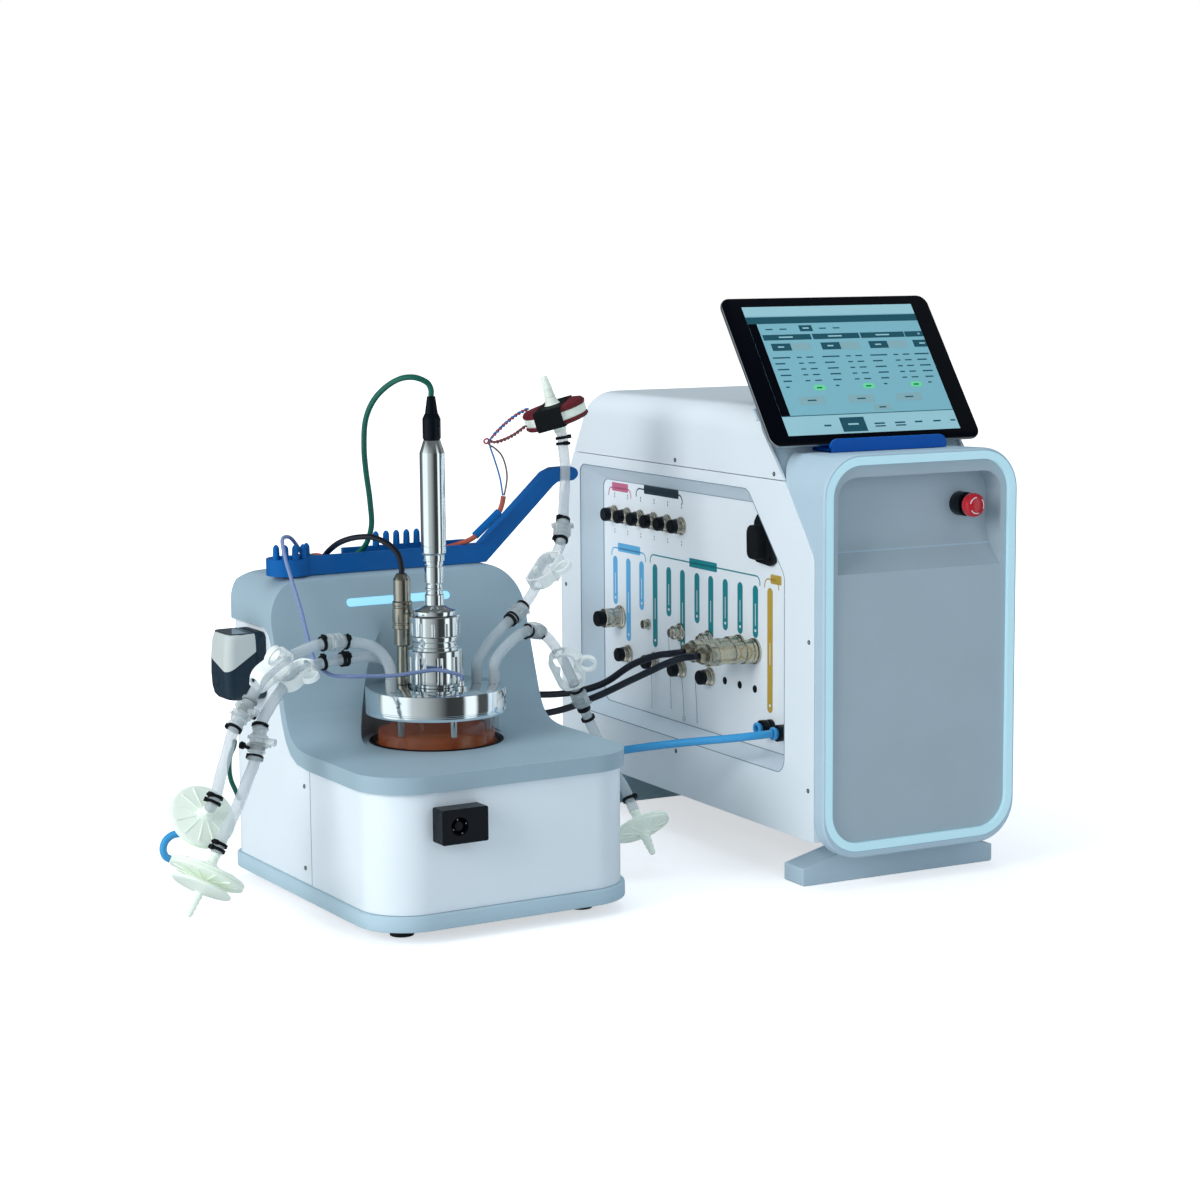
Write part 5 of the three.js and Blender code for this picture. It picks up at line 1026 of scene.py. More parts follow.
def socket(r, length):
    """A bulkhead socket: flange, threaded shell and, on the outer end, the band that takes a cap."""
    base = [(0, 0), (r + 2.2, 0), (r + 2.2, 1.6), (r + 1, 2.4), (r + 1, 3.4)]
    z, step = 3.4, (length * 0.4 - 3) / 4
    for _ in range(4):
        base += [(r + 0.2, z + step * 0.25), (r + 0.7, z + step * 0.75)]
        z += step
    return lathe(base + [(r - 0.5, z + 0.4), (r - 0.5, z + 1.4), (0, z + 1.4)], 0.2, 48)


def slotted_cap(r, length, deep):
    """A knurled dust cap with a coin slot, from height deep to length."""
    rows = [(0, deep), (r - 0.8, deep), (r - 0.2, deep + 0.6), (r, deep + 1.4), (r, length - 1.6),
        (r - 0.5, length - 0.6), (r - 1.3, length), (r - 2.6, length), (0, length)]
    grip = notched(rows, 60, lambda k, rr, z, i: rr - (0.35 if 2 < k < 5 and i % 4 < 2 else 0))
    for x in (-0.9, 0.5):
        grip.join(block(-r * 0.8, r * 0.8, x, x + 0.4, length - 0.2, length + 0.02))
    return grip


metal, caps = Form(), Form()
capped = [(column(k), ROW_TOP, 7.4, 15) for k in range(5, 11)]
capped += [(column(k), ROW_LOW, 7.6, 15) for k in (3, 5, 7, 9)]
for y, z, r, length in capped:
    spot = at(PLATE_X, y, z) @ TO_LEFT
    metal.join(socket(r, length + 3), spot)
    caps.join(slotted_cap(r - 0.1, length, length * 0.5), spot)
big = at(PLATE_X, 449, ROW_MID) @ TO_LEFT
metal.join(lathe([(0, 0), (12.8, 0), (12.8, 2), (11.4, 2.6), (11.4, 4), (10.4, 4.4), (10.4, 11.4), (9.6, 11.8),
    (9.6, 12.8), (10.4, 13.2), (10.4, 21), (9, 21.6), (0, 21.6)], 0.2, 64), big)
caps.join(slotted_cap(8.6, 29.9, 21), big)
small = at(PLATE_X, 386, ROW_MID) @ TO_LEFT
metal.join(lathe([(0, 3), (2.4, 3), (2.4, 7.8), (4.2, 7.8), (4.8, 7.4), (4.8, 4), (5, 3.6), (5, 1.8), (5.6, 1.6),
    (5.6, 0), (0, 0)], 0.15, 40), small)
for k in (5, 3):
    spot = at(PLATE_X, column(k) + 3, ROW_MID) @ TO_LEFT
    metal.join(lathe([(0, 0), (9.4, 0), (9.4, 1.8), (7.6, 2.4), (7.6, 4), (6.9, 4.6), (7.2, 5.2), (7.2, 9.6),
        (6.4, 10.4), (4.6, 11), (4.6, 13.6), (3.6, 14), (0, 14)], 0.2, 56), spot)
for k in (0, 1):
    spot = at(PLATE_X, column(k), ROW_MID) @ TO_LEFT
    metal.join(peg(13, 2.5, 0.4, 64), spot)
piece("bulkhead_sockets", metal, TOWER, NICKEL)
piece("socket_dust_caps", caps, TOWER, BLACK)

ports, collets = Form(), Form()
for y in (137, 107):
    spot = at(PLATE_X, y, 135) @ TO_LEFT
    ports.join(lathe([(0, 0), (8.2, 0), (8.2, 4), (7.4, 4.6), (7.4, 6), (8.2, 6.6), (8.2, 13), (0, 13)], 0.4, 48),
        spot)
    collets.join(lathe([(4.1, 12.8), (5.4, 13), (5.4, 15), (6.4, 15.4), (6.4, 17.6), (4.1, 17.9), (4.1, 12.8)], 0.25,
        48), spot)
piece("gas_ports", ports, TOWER, BLACK)
piece("gas_port_collets", collets, TOWER, GAS)


def capsule(y, z0, z1):
    """A bar's outline with round ends, 10 mm wide."""
    half = 5
    arc = [math.radians(a) for a in range(0, 181, 15)]
    return [(y - half * math.cos(a), z0 + half - half * math.sin(a))
        for a in arc] + [(y + half * math.cos(a), z1 - half + half * math.sin(a)) for a in arc]


PRINT_X = PLATE_X - 0.12
BLUE_BARS = [(460, 219.2), (430.5, 182.4), (401, 219.6)]
TEAL_BARS = [(371.5, 183.6), (342, 220), (313, 188), (283, 220), (255, 205), (226, 220), (197, 220), (167.5, 219.7)]


def printed(outline):
    """An outline in Y and Z as a thin coat on the connector plate."""
    return extruded(outline, PRINT_X, PLATE_X - 0.01, ALONG_X)


def bars(places):
    form = Form()
    for y, z0 in places:
        form.join(printed(capsule(y, z0, 272)))
    return form


def heading(y, z, half):
    """A label's filled field, half as long as half says and 9.2 mm high."""
    return printed(round_rect(y - half, z - 4.6, y + half, z + 4.6, 1.4, 3))


def bracket(y0, y1, z):
    """A thin line over a group of sockets that curves down past each end."""
    drop, r, wide = 9, 7, 0.7
    bend = [math.radians(a) for a in range(0, 91, 15)]
    path = [(y0, z - drop), *((y0 + r - r * math.cos(a), z - r + r * math.sin(a)) for a in bend),
        *((y1 - r + r * math.sin(a), z - r + r * math.cos(a)) for a in bend), (y1, z - drop)]
    form = Form()
    for (a, b), (c, d) in zip(path, path[1:]):
        t = Vector((c - a, d - b)).normalized() * wide
        form.join(printed([(a - t.y, b + t.x), (a + t.y, b - t.x), (c + t.y, d - t.x), (c - t.y, d + t.x)]))
    return form


for name, ink, form, label, line in (("print_light_blue", INK_BLUE, bars(BLUE_BARS), (428.9, 282.3, 25),
        (392, 468, 281)), ("print_teal", INK_TEAL, bars(TEAL_BARS), (270.6, 281.5, 28), (159, 382, 281.5)),
        ("print_gold", INK_GOLD, printed(capsule(140, 148.8, 272.5)), (129, 281.6, 10), (124, 150, 281)),
        ("print_pink", INK_PINK, Form(), (448.4, 347, 18), (424, 474, 346)),
        ("print_dark", INK_DARK, Form(), (357.8, 349.2, 37), (313, 412, 349))):
    piece(name, form.join(heading(*label)).join(bracket(*line)), TOWER, ink)
marks = Form()
for y in map(column, range(5, 11)):
    for up in (0, 3):
        marks.join(block(PRINT_X, PLATE_X - 0.01, y - 0.6, y + 0.6, 335.5 + up, 337.6 + up))
        marks.join(block(PRINT_X, PLATE_X - 0.01, y - 0.5, y + 0.5, 297 + up, 298.8 + up))
piece("print_marks", marks, TOWER, INK_DARK)
white_marks = Form()
for y, z0 in BLUE_BARS + TEAL_BARS + [(140, 148.8)]:
    z = 272 - (272 - z0) * 0.5
    white_marks.join(block(PRINT_X - 0.05, PLATE_X - 0.1, y - 0.55, y + 0.55, z - 14, z + 8))
    white_marks.join(block(PRINT_X - 0.05, PLATE_X - 0.1, y - 1.5, y + 1.5, z0 + 6, z0 + 8.6))
piece("print_white_marks", white_marks, TOWER, WHITE_INK)

wires = Form()
for (y0, z0), (y1, z1), ring in (((371.5, 160), (373.5, 118), 0), ((334, 199), (331.5, 124), 0),
        ((306.5, 160), (304.5, 120), 2.2), ((278.5, 160), (277, 117), 0)):
    line = smooth_path([(20, y0, z0), (21.4, (y0 + y1) / 2 + 0.6, (z0 + z1) / 2), (21.4, y1, z1)], 5)
    wires.join(swept(line, 0.42, 6))
    if ring:
        wires.join(swept([(21.4, y1 + ring * math.sin(math.radians(a)), z1 - ring + ring * math.cos(math.radians(a)))
            for a in range(0, 360, 24)], 0.42, 6, closed=True))
piece("cap_lanyards", wires, TOWER, SATIN)

plug = [(0, 0), (12, 0), (12, 3.4), (11.2, 3.8), (11.2, 4.8), (12, 5.2), (12, 12), (10.4, 12.6), (10.4, 20),
    (11, 20.4), (11, 24), (10.4, 24.4), (10.4, 38), (11.2, 38.6), (11.2, 43), (10.7, 43.3), (10.7, 44.3),
    (11.2, 44.6), (11.2, 52), (9.6, 54), (8.8, 58), (6.5, 62), (0, 62)]
for k in (0, 1):
    piece(f"cable_plug_{k + 1}", lathe(plug, 0.3, 72), TOWER @ at(22.2, column(k), ROW_MID) @ TO_LEFT, BRASS,
        node=f"power_plug_{k + 1}")

# ---------------------------------------------------------------- rubber cover over the data socket
cover_edge = filleted([(126, 299), (134, 294.6), (160, 296.6), (164, 304), (163, 336), (157, 344), (145, 344),
    (136, 334)], [3, 5, 4, 4, 6, 5, 5, 8], 5)
flap = shaped(extruded(cover_edge, 20.2, 24.7, ALONG_X), ("join", extruded(filleted([(139, 300), (160, 301),
    (161, 334), (141, 334)], [6, 7, 9, 9], 6), 10.2, 21, ALONG_X)),
    ("cut", extruded(round_rect(149, 339, 154.5, 341.4, 1.1, 5), -10, 40, ALONG_X)),
    ("cut", extruded(circle(2, 133, 302, 20), -10, 40, ALONG_X)))
piece("port_cover_flap", flap, TOWER, RUBBER, bevel=1.4, segments=3, angle=40, node="port_cover")

# ---------------------------------------------------------------- screws, feet and the tablet's rest
screws = Form()
for y, z in ((523, 236), (278, 389.3), (87.4, 389), (278.4, 90.4), (24.8, 236), (25.7, 94.6)):
    screws.join(SCREW, at(BODY_X0 + 0.3, y, z) @ TO_LEFT)
    screws.join(SCREW, at(BODY_X1 - 0.9, y, z) @ TO_RIGHT)
piece("tower_screws", screws, TOWER, DARK)
dressed("tower_front_foot", FOOT_GREY, bevel=1.2, segments=3)
dressed("tower_rear_foot", FOOT_DARK, bevel=1.2, segments=3)
rest_side = [(57, 409.4), (57, 420.5), (58, 422), (60.2, 422), (60.2, 411), (78.6, 410.7), (79.9, 411.4),
    (115.2, 459.8), (118, 457.8), (89.4, 414), (89.4, 409.4)]
REST_X, REST_HALF = RING_W / 2, 66
rest_front = extruded(round_rect(REST_X - REST_HALF, 400, REST_X + REST_HALF, 422, [0, 0, 8, 8], 10), 50, 64, ALONG_Y)
rest_front.join(extruded(round_rect(REST_X - REST_HALF, 400, REST_X + REST_HALF, 470, [0, 0, 8, 8], 10), 64, 130,
    ALONG_Y))
rest = shaped(extruded(rest_side, REST_X - REST_HALF, REST_X + REST_HALF, ALONG_X), ("keep", rest_front))
piece("tablet_rest_ledge", rest, TOWER, REST_BLUE, bevel=0.5, angle=40, node="tablet_rest")

# ---------------------------------------------------------------- tablet
TAB_W, TAB_H = 240, 169.5


def tablet_outline(s, steps=12):
    return round_rect(s, s, TAB_W - s, TAB_H - s, 11 - s * 0.6, steps)


back_case = stacked(tablet_outline, [(6, -7.5), (3.6, -6.9), (1.8, -5.6), (0.6, -4), (0, -2.4), (0, -0.6),
    (0.25, -0.1)])
piece("tablet_case", back_case, TABLET, SATIN, node="tablet")
glass = stacked(tablet_outline, [(0.6, -0.1), (0.6, 0.2), (1.2, 0.55)])
piece("tablet_glass", glass, TABLET, SCREEN_BLACK)
SCREEN = (21.5, 10.9, TAB_W - 21.5, TAB_H - 10.9)
TOP = 0.57


def tile(x0, y0, x1, y1, layer=1, r=0):
    """A flat field on the screen, x and y as shares of its width and height from the lower left."""
    w, h = SCREEN[2] - SCREEN[0], SCREEN[3] - SCREEN[1]
    a, b, c, d = SCREEN[0] + w * x0, SCREEN[1] + h * y0, SCREEN[0] + w * x1, SCREEN[1] + h * y1
    outline = round_rect(a, b, c, d, r, 3) if r else [(a, b), (c, b), (c, d), (a, d)]
    return extruded(outline, TOP + 0.05 * (layer - 1) - 0.04, TOP + 0.05 * layer)


def fields(name, ink, tiles):
    form = Form()
    for t in tiles:
        form.join(tile(*t))
    piece(name, form, TABLET, ink)


COLUMNS = [0.059, 0.345, 0.627, 0.892]
ENDS = [0.335, 0.618, 0.887, 1.0]
fields("screen_base", SCREEN_TEAL, [(0, 0, 1, 1)])
fields("screen_status", SCREEN_PALE, [(0, 0.925, 1, 1, 2), (0, 0, 1, 0.145, 2)])
dark = [(0, 0.865, 1, 0.918, 3), (0.285, 0.80, 0.36, 0.848, 3), (0.318, 0.012, 0.459, 0.122, 3),
    (0, 0.1445, 1, 0.15, 4)]
night = [(0, 0.15, 0.05, 0.865, 3)]
pale, grey, text, green = [], [], [], []
for i, (c, end) in enumerate(zip(COLUMNS, ENDS)):
    dark.append((c, 0.735, end, 0.778, 3))
    dark.append((c + 0.03, 0.652, min(end, c + 0.14), 0.708, 3))
    if i < 3:
        grey.append((c + 0.14, 0.652, c + 0.255, 0.708, 3))
        grey.append((c + 0.07, 0.232, c + 0.22, 0.292, 3, 1.6))
        text.append((c + 0.12, 0.257, c + 0.17, 0.267, 4))
        green.append((c + 0.183, 0.338, c + 0.25, 0.378, 3, 2.4))
        text.append((c + 0.2, 0.352, c + 0.23, 0.362, 4))
    for row in range(6):
        y = 0.592 - 0.0455 * row
        wide = (0.10, 0.06, 0.07, 0.07, 0.06, 0.035)[row]
        text.append((c + 0.012 + 0.003 * row, y, min(end - 0.01, c + 0.012 + wide), y + 0.01, 3))
        if row < 5 and i < 3:
            text.append((c + 0.15, y, c + 0.178, y + 0.009, 3))
            text.append((c + 0.205, y, c + 0.245, y + 0.009, 3))
for x in (0.11, 0.19, 0.42, 0.5):
    text.append((x - 0.02, 0.816, x + 0.02, 0.825, 3))
for x, wide in ((0.24, 0.02), (0.54, 0.03), (0.66, 0.03), (0.77, 0.022), (0.88, 0.022), (0.975, 0.015)):
    text.append((x - wide, 0.06, x + wide, 0.072, 3))
    if x in (0.54, 0.66):
        text.append((x - wide, 0.04, x + wide, 0.05, 3))
grey.append((0.545, 0.168, 0.645, 0.212, 3))
text.append((0.575, 0.185, 0.615, 0.195, 4))
pale.append((0.305, 0.82, 0.34, 0.83, 4))
pale.append((0.358, 0.063, 0.418, 0.075, 4))
pale += [(c + 0.09, 0.752, min(0.97, c + 0.17), 0.762, 4) for c in COLUMNS]
pale += [(c + 0.065, 0.676, c + 0.1, 0.686, 4) for c in COLUMNS]
fields("screen_night", SCREEN_BLACK, night)
fields("screen_dark", SCREEN_DARK, dark)
fields("screen_pale_fields", SCREEN_PALE, pale)
fields("screen_buttons", SCREEN_GREY, grey)
fields("screen_rows", SCREEN_DARK, text)
fields("screen_green", SCREEN_GREEN, green)

# ---------------------------------------------------------------- fittings on the hoses
HOSE_R = 5.2
STRAP_ASIDE = -14


def place_on(points, distance):
    """A frame on a hose's route at a distance from its start, with Z along the hose."""
    path = smooth_path(points)
    for a, b in zip(path, path[1:]):
        step = (b - a).length
        if distance <= step:
            return toward(a + (b - a) * (distance / step), b + (b - a))
        distance -= step
    return toward(path[-1], path[-1] * 2 - path[-2])


def cable_tie(turn):
    """A tie pulled tight round a hose, with its square head and cut tail."""
    band = turned([(HOSE_R + 0.02, -1.3), (HOSE_R + 1.8, -1.3), (HOSE_R + 1.8, 1.3), (HOSE_R + 0.02, 1.3),
        (HOSE_R + 0.02, -1.3)], 28)
    head = block(HOSE_R + 0.3, HOSE_R + 3.4, -2.2, 2.2, -1.9, 1.9)
    head.join(block(HOSE_R + 1.2, HOSE_R + 2.3, 1, 4.5, -1.1, 1.1))
    return band.join(head, Matrix.Rotation(math.radians(turn), 4, "Z"))


def sleeve(length):
    """A black clip band with rounded rims."""
    r = HOSE_R + 1.5
    return lathe([(HOSE_R, -length / 2), (r, -length / 2), (r, length / 2), (HOSE_R, length / 2),
        (HOSE_R, -length / 2)], 0.4, 36)


def barb_joint():
    """A clear push-fit joint: ribbed middle, two latch wings and a barb at each end."""
    half, r = 12, 8.2
    body = lathe([(HOSE_R + 0.05, -half), (HOSE_R + 1.2, -half), (HOSE_R + 1.2, -half + 5), (r, -half + 6),
        (r, -half + 8.4), (r - 1.2, -half + 9), (r - 1.2, -1.2), (r, -0.8), (r, 0.8), (r - 1.2, 1.2),
        (r - 1.2, half - 9), (r, half - 8.4), (r, half - 6), (HOSE_R + 1.2, half - 5), (HOSE_R + 1.2, half),
        (HOSE_R + 0.05, half), (HOSE_R + 0.05, -half)], 0.3, 40)
    for side in (1, -1):
        body.join(block(side * (r - 0.5) - 0.9, side * (r - 0.5) + 0.9, -3.4, 3.4, -5, 7))
        body.join(block(side * (r + 1.4) - 1.3, side * (r + 1.4) + 1.3, -3.4, 3.4, 4.2, 6))
    return body


def pinch_form():
    """The one-piece clamp: a rounded loop, two jaws, a toothed latch and a finger ring."""
    half_y, half_z, wall, band = 13.5, 22, 2.4, 6
    outer = filleted([(-half_y, -half_z), (half_y, -half_z), (half_y, half_z), (-half_y, half_z)], [9] * 4, 8)
    inner = filleted([(-half_y + wall, -half_z + wall), (half_y - wall, -half_z + wall),
        (half_y - wall, half_z - wall), (-half_y + wall, half_z - wall)], [6.6] * 4, 8)
    loop = shaped(extruded(outer, -band, band, ALONG_X), ("cut", extruded(inner, -band - 1, band + 1, ALONG_X)),
        ("cut", turned([(0, -30), (HOSE_R + 0.6, -30), (HOSE_R + 0.6, 30), (0, 30)], 32)))
    for side in (-1, 1):
        loop.join(extruded(filleted([(side * 6.4, 0), (side * 12, -5), (side * 12, 5)][::side], [1.6, 1, 1], 4),
            -band + 1, band - 1, ALONG_X))
    for i in range(4):
        z = -13 + 1.9 * i
        loop.join(extruded([(half_y - 0.4, z), (half_y + 1.3, z + 0.3), (half_y - 0.4, z + 1.6)], -band, band,
            ALONG_X))
    loop.join(block(-band, band, half_y - 1, half_y + 5, -12.4, -10.2))
    loop.join(block(-band, band, half_y + 3.4, half_y + 5, -12.4, -6))
    ring_y = half_y + 7.5
    ring = shaped(extruded(circle(9, ring_y, 0, 40), -2.4, 2.4, ALONG_X),
        ("cut", extruded(circle(6.4, ring_y, 0, 40), -3, 3, ALONG_X)))
    return loop.join(ring)


def clamp_frame(centre, along, side):
    z = Vector(along).normalized()
    y = (Vector(side) - z * Vector(side).dot(z)).normalized()
    x = y.cross(z)
    return Matrix.Translation(centre) @ Matrix((x, y, z)).transposed().to_4x4()


PINCH = pinch_form()
for node, centre, along, side in (("pinch_clamp_left", (-40, 131.2, 233.6), (-21, -6, -11), (0.3, -0.5, 1)),
        ("pinch_clamp_right", (277, 197.7, 294), (19, 11, 15), (0.5, -0.6, 0.3)),
        ("pinch_clamp_lower", (291, 182.6, 198), (18, 7, -28), (0.6, -0.6, 0.3))):
    piece(node + "_loop", PINCH, STATION @ clamp_frame(centre, along, side), CLAMP_WHITE_PAINTED_GLOW, bevel=0.5, angle=40,
        node=node)

second_at = place_on(HOSE_LEFT_2, 115.8)
along = second_at.to_3x3() @ Vector((0, 0, 1))
piece("pinch_clamp_left_second_loop", PINCH, STATION @ clamp_frame(second_at.translation, along,
    (0.86, -0.5, 0.3)) @ Matrix.Scale(0.88, 4), CLAMP_WHITE_PAINTED_GLOW, bevel=0.5, angle=40)
joint = lathe([(0, 0), (7.4, 0), (7.4, 2.4), (6.4, 3), (6.4, 6.6), (8, 7.2), (8, 8.6), (10, 9), (10, 10.8),
    (7.6, 11.2), (7.6, 15.4), (9.4, 15.8), (9.4, 17.6), (7.6, 18), (7.6, 21), (8.2, 21.4), (8.2, 22.8), (6.4, 23.4),
    (6.4, 27), (7.4, 27.6), (7.4, 30), (0, 30)], 0.3, 48)
joint.join(block(-12.5, 12.5, -2.6, 2.6, 15.9, 17.5))
joint.join(peg(3.4, 10, 0.4, 24, at(7, 0, 13) @ TO_RIGHT))
for node, a, b in (("coupling_left_a", (-65, 121.3, 211), (-85, 113, 188)),
        ("coupling_left_b", (-56.5, 120.6, 185), (-65, 113.5, 161))):
    piece(node + "_body", joint, STATION @ toward(a, b), CLEAR, node=node)

caps = Form()
for a, b in (((-71.3, 115, 200.2), (-63.4, 115.4, 196.2)), ((-71.5, 112, 169.5), (-79.6, 111.6, 173.4))):
    caps.join(lathe([(0, 0), (1.6, 0), (1.6, 5), (3.3, 5.4), (3.3, 9), (0, 9)], 0.3, 20, toward(a, b)))
piece("coupling_caps", caps, STATION, BLACK)
hook = smooth_path([(-118.4, 126.5, 101.9), (-119.4, 134.3, 95.7), (-120.8, 141.6, 92.8), (-124.4, 147.6, 92.4),
    (-130.6, 150, 91.2), (-136.7, 151, 86.4), (-138.7, 152, 78.9), (-136.5, 152, 72.2), (-130.6, 152, 68.7),
    (-122, 151, 67.1)], 8)
piece("filter_hook_tube", swept(hook, 3.3, 20), STATION, GAS)
tether = smooth_path([(-86, 109, 178), (-85.6, 112, 172.5), (-89.4, 112, 164.3), (-90.5, 112, 153.7),
    (-89.2, 112, 142.9), (-86.5, 108, 133), (-87.5, 99, 128.5)], 8)
piece("coupling_tether", swept(tether, 2.1, 16), STATION, GREEN)


def vent_filter(r, stem_in, stem_out, paired=False):
    """A disc vent filter: barbed stem, two ribbed shells welded at the rim, stepped outlet."""
    a = stem_in
    rows = [(0, 0), (4.6, 0), (4.6, 2), (4, 2.6), (4.6, 4.6), (4, 5.2), (4.6, 7), (4.6, a - 1), (6.4, a),
        (6.4, a + 2.6), (9, a + 3.6), (r * 0.6, a + 5), (r - 2, a + 6.2), (r - 0.4, a + 6.8), (r, a + 7.4),
        (r, a + 8.6), (r - 0.6, a + 9.1), (r - 2.6, a + 9.3), (r - 2.6, a + 9.9), (r - 0.6, a + 10.1), (r, a + 10.6),
        (r, a + 11.4), (r - 0.4, a + 12), (r - 2, a + 12.6), (r * 0.6, a + 13.9), (9, a + 15.4), (6.4, a + 16.4),
        (6.4, a + 18.6), (4.9, a + 19)]
    ribs = max(3, round(stem_out / 5))
    for i in range(ribs):
        z = a + 19 + stem_out * i / ribs
        q = 4.9 - 2.3 * i / ribs
        rows += [(q, z + 0.4), (q, z + stem_out / ribs * 0.55), (q - 0.75, z + stem_out / ribs * 0.6),
            (q - 0.75, z + stem_out / ribs * 0.95)]
    form = lathe(rows + [(0, a + 19 + stem_out)], 0.15, 72)
    if paired:
        q = r - 6.4
        form.join(lathe([(0, a + 16), (9, a + 17.4), (q * 0.6, a + 18.6), (q - 2.6, a + 19.6), (q - 0.8, a + 20.6),
            (q - 0.4, a + 21.6), (q - 0.8, a + 22.4), (q - 2.6, a + 23.2), (q * 0.6, a + 24.4), (9, a + 26),
            (0, a + 27)], 0.2, 72))
    for i in range(12):
        spin = Matrix.Rotation(2 * math.pi * i / 12, 4, "Z")
        form.join(extruded([(8, a + 3), (r - 3, a + 5.2), (r - 3, a + 6.4), (8, a + 6)], -0.5, 0.5, spin @ ALONG_Y))
        form.join(extruded([(8, a + 12.8), (r - 3, a + 12.6), (r - 3, a + 13.5), (8, a + 16)], -0.5, 0.5,
            spin @ ALONG_Y))
    return form


def straight_on(points):
    a, b = Vector(points[-2]), Vector(points[-1])
    return toward(b + (b - a).normalized() * GAP, b + (b - a) * 2)


for node, points, sizes in (("filter_left_a", HOSE_LEFT_1, (30, 8, 12)),
        ("filter_left_b", HOSE_LEFT_2, (34, 10, 30, True)), ("filter_right", HOSE_RIGHT_2, (28, 8, 20))):
    piece(node + "_disc", vent_filter(*sizes), STATION @ straight_on(points), FILTER_PAINTED_GLOW, node=node)

# the heated vent filter: a white disc between two wrapped heating pads, held by a strap
heated = lathe([(0, 0), (6, 0), (6, 5), (10, 6.6), (10, 9)] + [(29, 10.6), (30.4, 14), (31, 15), (31, 21), (30.4, 22),
    (29, 25)] + [(10, 27), (7, 29), (6.2, 32), (5, 36), (5.4, 37), (5, 38), (4.4, 44), (4.8, 45), (4.4, 46),
    (3.4, 54), (3, 57), (0, 57)], 0.2, 72)
pads = turned([(9, 8.4), (14, 8.6), (26, 8.3), (30, 9.2), (31.8, 11), (31.6, 12.8), (29.6, 14.2), (9, 14.6),
    (9, 8.4)], 72)
pads.join(turned([(9, 21.2), (29.6, 21.4), (31.7, 22.8), (31.8, 25), (30, 27.2), (25, 28), (13, 27.6), (9, 27),
    (9, 21.2)], 72))
strap = extruded(filleted([(-32.4, 7.9), (33.2, 7.9), (33.2, 28.4), (-32.4, 28.4)], [4] * 4, 6), -14, 14, ALONG_Y)
hollow = extruded(filleted([(-31.4, 8.9), (32.2, 8.9), (32.2, 27.4), (-31.4, 27.4)], [3] * 4, 6), -15, 15, ALONG_Y)
strap = shaped(strap, ("cut", hollow))
heated_at = STATION @ straight_on(HOSE_RIGHT_1)
near = heated_at.inverted() @ CAMERA_AT
heated_at = heated_at @ Matrix.Rotation(math.atan2(near.y, near.x) + math.radians(STRAP_ASIDE), 4, "Z")
piece("filter_heated_shell", heated, heated_at, FILTER_PAINTED_GLOW, node="filter_heated")
piece("filter_heater_pads", pads, heated_at, WRAP)
piece("filter_heater_strap", strap, heated_at, RUBBER, bevel=0.3)

for side, points, fittings in (("left_1", HOSE_LEFT_1,
        ["filter_left_a_disc", "coupling_left_a_body", "pinch_clamp_left_loop"]),
        ("left_2", HOSE_LEFT_2, ["filter_left_b_disc", "coupling_left_b_body", "pinch_clamp_left_second_loop"]),
        ("right_1", HOSE_RIGHT_1, ["filter_heated_shell", "filter_heater_pads", "pinch_clamp_right_loop"]),
        ("right_2", HOSE_RIGHT_2, ["filter_right_disc", "pinch_clamp_lower_loop"])):
    cord_piece(f"hose_{side}_tube", points, HOSE_D, HOSE, f"hose_{side}")
cord_piece("sensor_cable", SENSOR_LEAD, 5.5, CORD_BLACK, "cable_sensor")
cord_piece("probe_cable", PROBE_LEAD, 5.3, GREEN, "cable_probe")
cord_piece("heater_cable", HEATER_LEAD[::-1], 5, ORANGE, "cable_heater")
blue_wire = [(252, 237, 364.8), (251.7, 237, 366.4), (249.1, 237, 381.9), (243.1, 237.5, 401.6), (238.9, 238, 414)]
brown_wire = [(253.4, 237, 364.8), (253.9, 237, 366.4), (256.9, 237, 384.5), (251.9, 237.5, 403.1),
    (243.6, 237.5, 411.4), (239, 237.8, 414.2), (237, 238, 417), (239, 238.2, 419.2)]
red_bend = [(235.6, 238, 420.6), (232.6, 238, 418.6), (234.4, 238, 416)]
for name, points, finish in (("blue", blue_wire + twisted(PAIR_1, 0), WIRE_BLUE),
        ("brown", brown_wire + twisted(PAIR_2, 0)[8:], WIRE_BROWN), ("red",
        twisted(PAIR_1, math.pi)[::-1] + red_bend + twisted(PAIR_2, math.pi), WIRE_RED)):
    cord_piece(f"heater_wire_{name}", points, WIRE_D, finish, None)
channel = swept(smooth_path([(247.8, 237.5, 348.9), (235.8, 238, 338.8), (222.3, 240, 326.9)], 8), 3.9, 20)
piece("tray_cable_channel", channel, STATION, BLUE)
cord_piece("sample_line", SAMPLE_TUBE, 3.6, VIOLET, "tube_sample")
cord_piece("power_cable_1", POWER_LEAD_1, 7, CORD_BLACK, "cable_power_1")
cord_piece("power_cable_2", POWER_LEAD_2, 7, CORD_BLACK, "cable_power_2")
cord_piece("gas_line", GAS_TUBE, 8, GAS, "tube_gas")

ties = Form()
for points, places in ((HOSE_LEFT_1, ((65.6, 40), (90.3, 60), (187.2, 200), (216.7, 160), (281, 90), (286, 120))),
        (HOSE_LEFT_2, ((60, 30), (64, 50), (84.4, 70), (181.3, 190), (210.9, 150), (300, 80), (305, 100))),
        (HOSE_RIGHT_1, ((66, 300), (70, 320), (87.9, 340), (184.6, 30), (208.1, 60), (286, 90), (292, 120))),
        (HOSE_RIGHT_2, ((64, 300), (84, 320), (170.7, 0), (204.8, 30), (300, 60)))):
    for distance, turn in places:
        ties.join(cable_tie(turn), place_on(points, distance))
piece("cable_ties", ties, STATION, RUBBER)
bands = Form()
for points, distance, length in ((HOSE_LEFT_1, 196.3, 6), (HOSE_LEFT_2, 200.5, 6), (HOSE_RIGHT_2, 192.7, 5)):
    bands.join(sleeve(length), place_on(points, distance))
piece("clip_bands", bands, STATION, BLACK)
joints = Form()
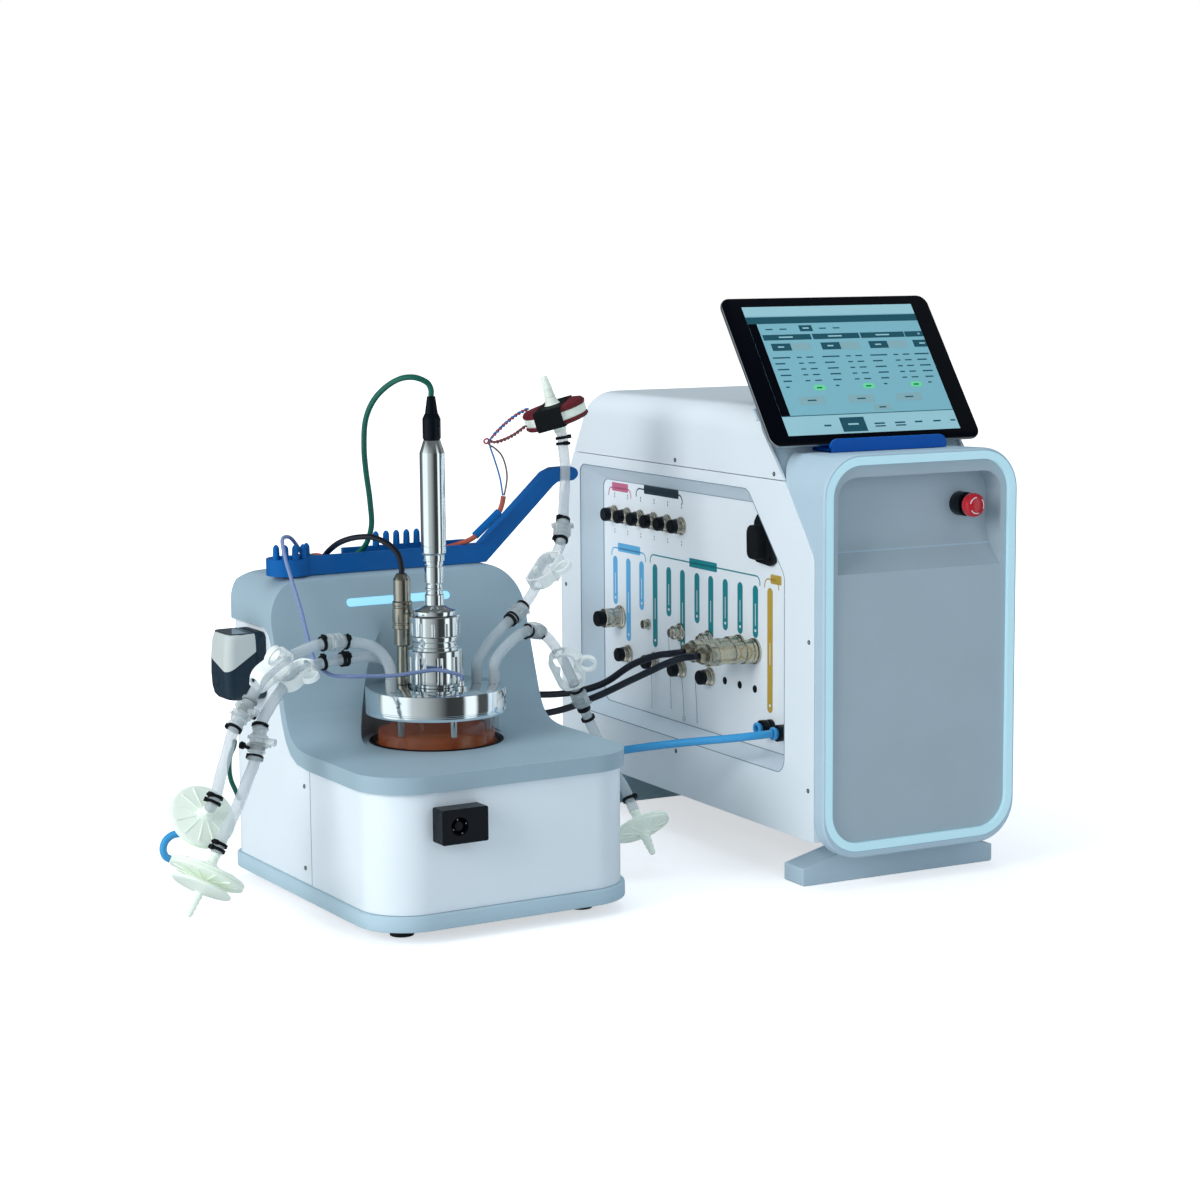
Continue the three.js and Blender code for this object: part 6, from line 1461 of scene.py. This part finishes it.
for points, distance in ((HOSE_LEFT_1, 77), (HOSE_RIGHT_1, 77.5), (HOSE_RIGHT_1, 196.4), (HOSE_RIGHT_2, 74),
        (HOSE_RIGHT_2, 181.5)):
    joints.join(barb_joint(), place_on(points, distance))
piece("push_fit_joints", joints, STATION, CLEAR)

# ---------------------------------------------------------------- floor and light
def seen_rays(tree):
    """One where a ray comes from the camera, a mirror or glass, as a node's output."""
    path = added(tree, "LightPath").outputs
    total = path["Is Camera Ray"]
    for word in ("Is Glossy Ray", "Is Transmission Ray"):
        total = added(tree, "Math", total, path[word], operation="MAXIMUM").outputs[0]
    return total


floor = piece("floor", block(-9000, 9000, -9000, 9000, -1, -0.02), Matrix.Scale(MM, 4),
    material("floor_paper", (226, 229, 232), 0.8, vary=0.004, grain=60, bump=0.01, slot=None))
floor.visible_glossy = False
# the paper glows from FLOOR_NEAR under the object to full white 1.3 m away, as seen but not as a light
paper = floor.data.materials[0].node_tree
away = added(paper, "VectorMath", added(paper, "TexCoord").outputs["Object"], operation="LENGTH")
fade = added(paper, "MapRange", Value=away.outputs["Value"], From_Min=0.45, From_Max=1.3, To_Min=FLOOR_NEAR)
strength = added(paper, "Math", fade.outputs["Result"], seen_rays(paper), operation="MULTIPLY")
wired(paper, paper.nodes["Principled BSDF"], Emission_Color=(1, 1, 1, 1), Specular_IOR_Level=0,
    Emission_Strength=strength.outputs[0])

world = bpy.data.worlds.new("studio")
scene.world = world
world.use_nodes = True
sky = world.node_tree
room = wired(sky, sky.nodes["Background"], Color=(0.80, 0.91, 1.0, 1), Strength=ROOM)
white = added(sky, "Background", Color=(1, 1, 1, 1), Strength=1)
mix = added(sky, "MixShader", seen_rays(sky), room.outputs[0], white.outputs[0])

# a mirror sees the studio round the object: white walls with dark cloths between them
axes = added(sky, "SeparateXYZ", added(sky, "TexCoord").outputs["Generated"]).outputs
bearing = added(sky, "Math", axes["Y"], axes["X"], operation="ARCTAN2")
turn = added(sky, "MapRange", Value=bearing.outputs[0], From_Min=-math.pi, From_Max=math.pi)
cloths = added(sky, "ValToRGB", Fac=turn.outputs["Result"])
WALLS = [(-180, 1.1), (-166, 1.1), (-156, 0.6), (-134, 0.45), (-112, 0.2), (-98, 0.04), (-72, 0.05), (-66, 1.1),
    (-50, 1.1), (-44, 0.07), (-26, 0.08), (-4, 0.26), (30, 0.3), (60, 0.12), (112, 0.12), (140, 0.22), (148, 1.1),
    (180, 1.1)]
stops = cloths.color_ramp.elements
for k, (degrees, level) in enumerate(WALLS):
    spot = (degrees + 180) / 360
    stop = stops[k] if k < 2 else stops.new(spot)
    stop.position = spot
    stop.color = (level, level, level, 1)
higher = added(sky, "MapRange", Value=axes["Z"], From_Min=0.3, From_Max=0.65)
ceiling = added(sky, "Mix", Factor=higher.outputs["Result"], A=cloths.outputs["Color"], B=0.14)
mirror = added(sky, "Background", Color=(0.9, 0.98, 1, 1), Strength=ceiling.outputs["Result"])
glossy = added(sky, "LightPath").outputs["Is Glossy Ray"]
last = added(sky, "MixShader", glossy, mix.outputs[0], mirror.outputs[0])
wired(sky, sky.nodes["World Output"], Surface=last.outputs[0])


def lamp(name, spot, aim, size, watts, rgb=(255, 255, 255)):
    data = bpy.data.lights.new(name, "AREA")
    data.size = size
    data.energy = watts
    data.color = linear(rgb)[:3]
    obj = bpy.data.objects.new(name, data)
    turn = (Vector(aim) - Vector(spot)).to_track_quat("-Z", "Y").to_matrix().to_4x4()
    obj.matrix_world = Matrix.Translation(spot) @ turn
    obj.visible_glossy = False
    scene.collection.objects.link(obj)


lamp("key", (-2.8, -0.6, 1.3), (0, 0, 0.25), 1.6, KEY)
lamp("top", (0.2, 0.2, 2.6), (0, 0, 0.2), 2.0, TOP_LAMP, (236, 246, 255))
lamp("fill", (0.3, -2.8, 0.9), (0, 0, 0.25), 2.4, FILL, (226, 240, 255))

scene.view_settings.view_transform = "Standard"
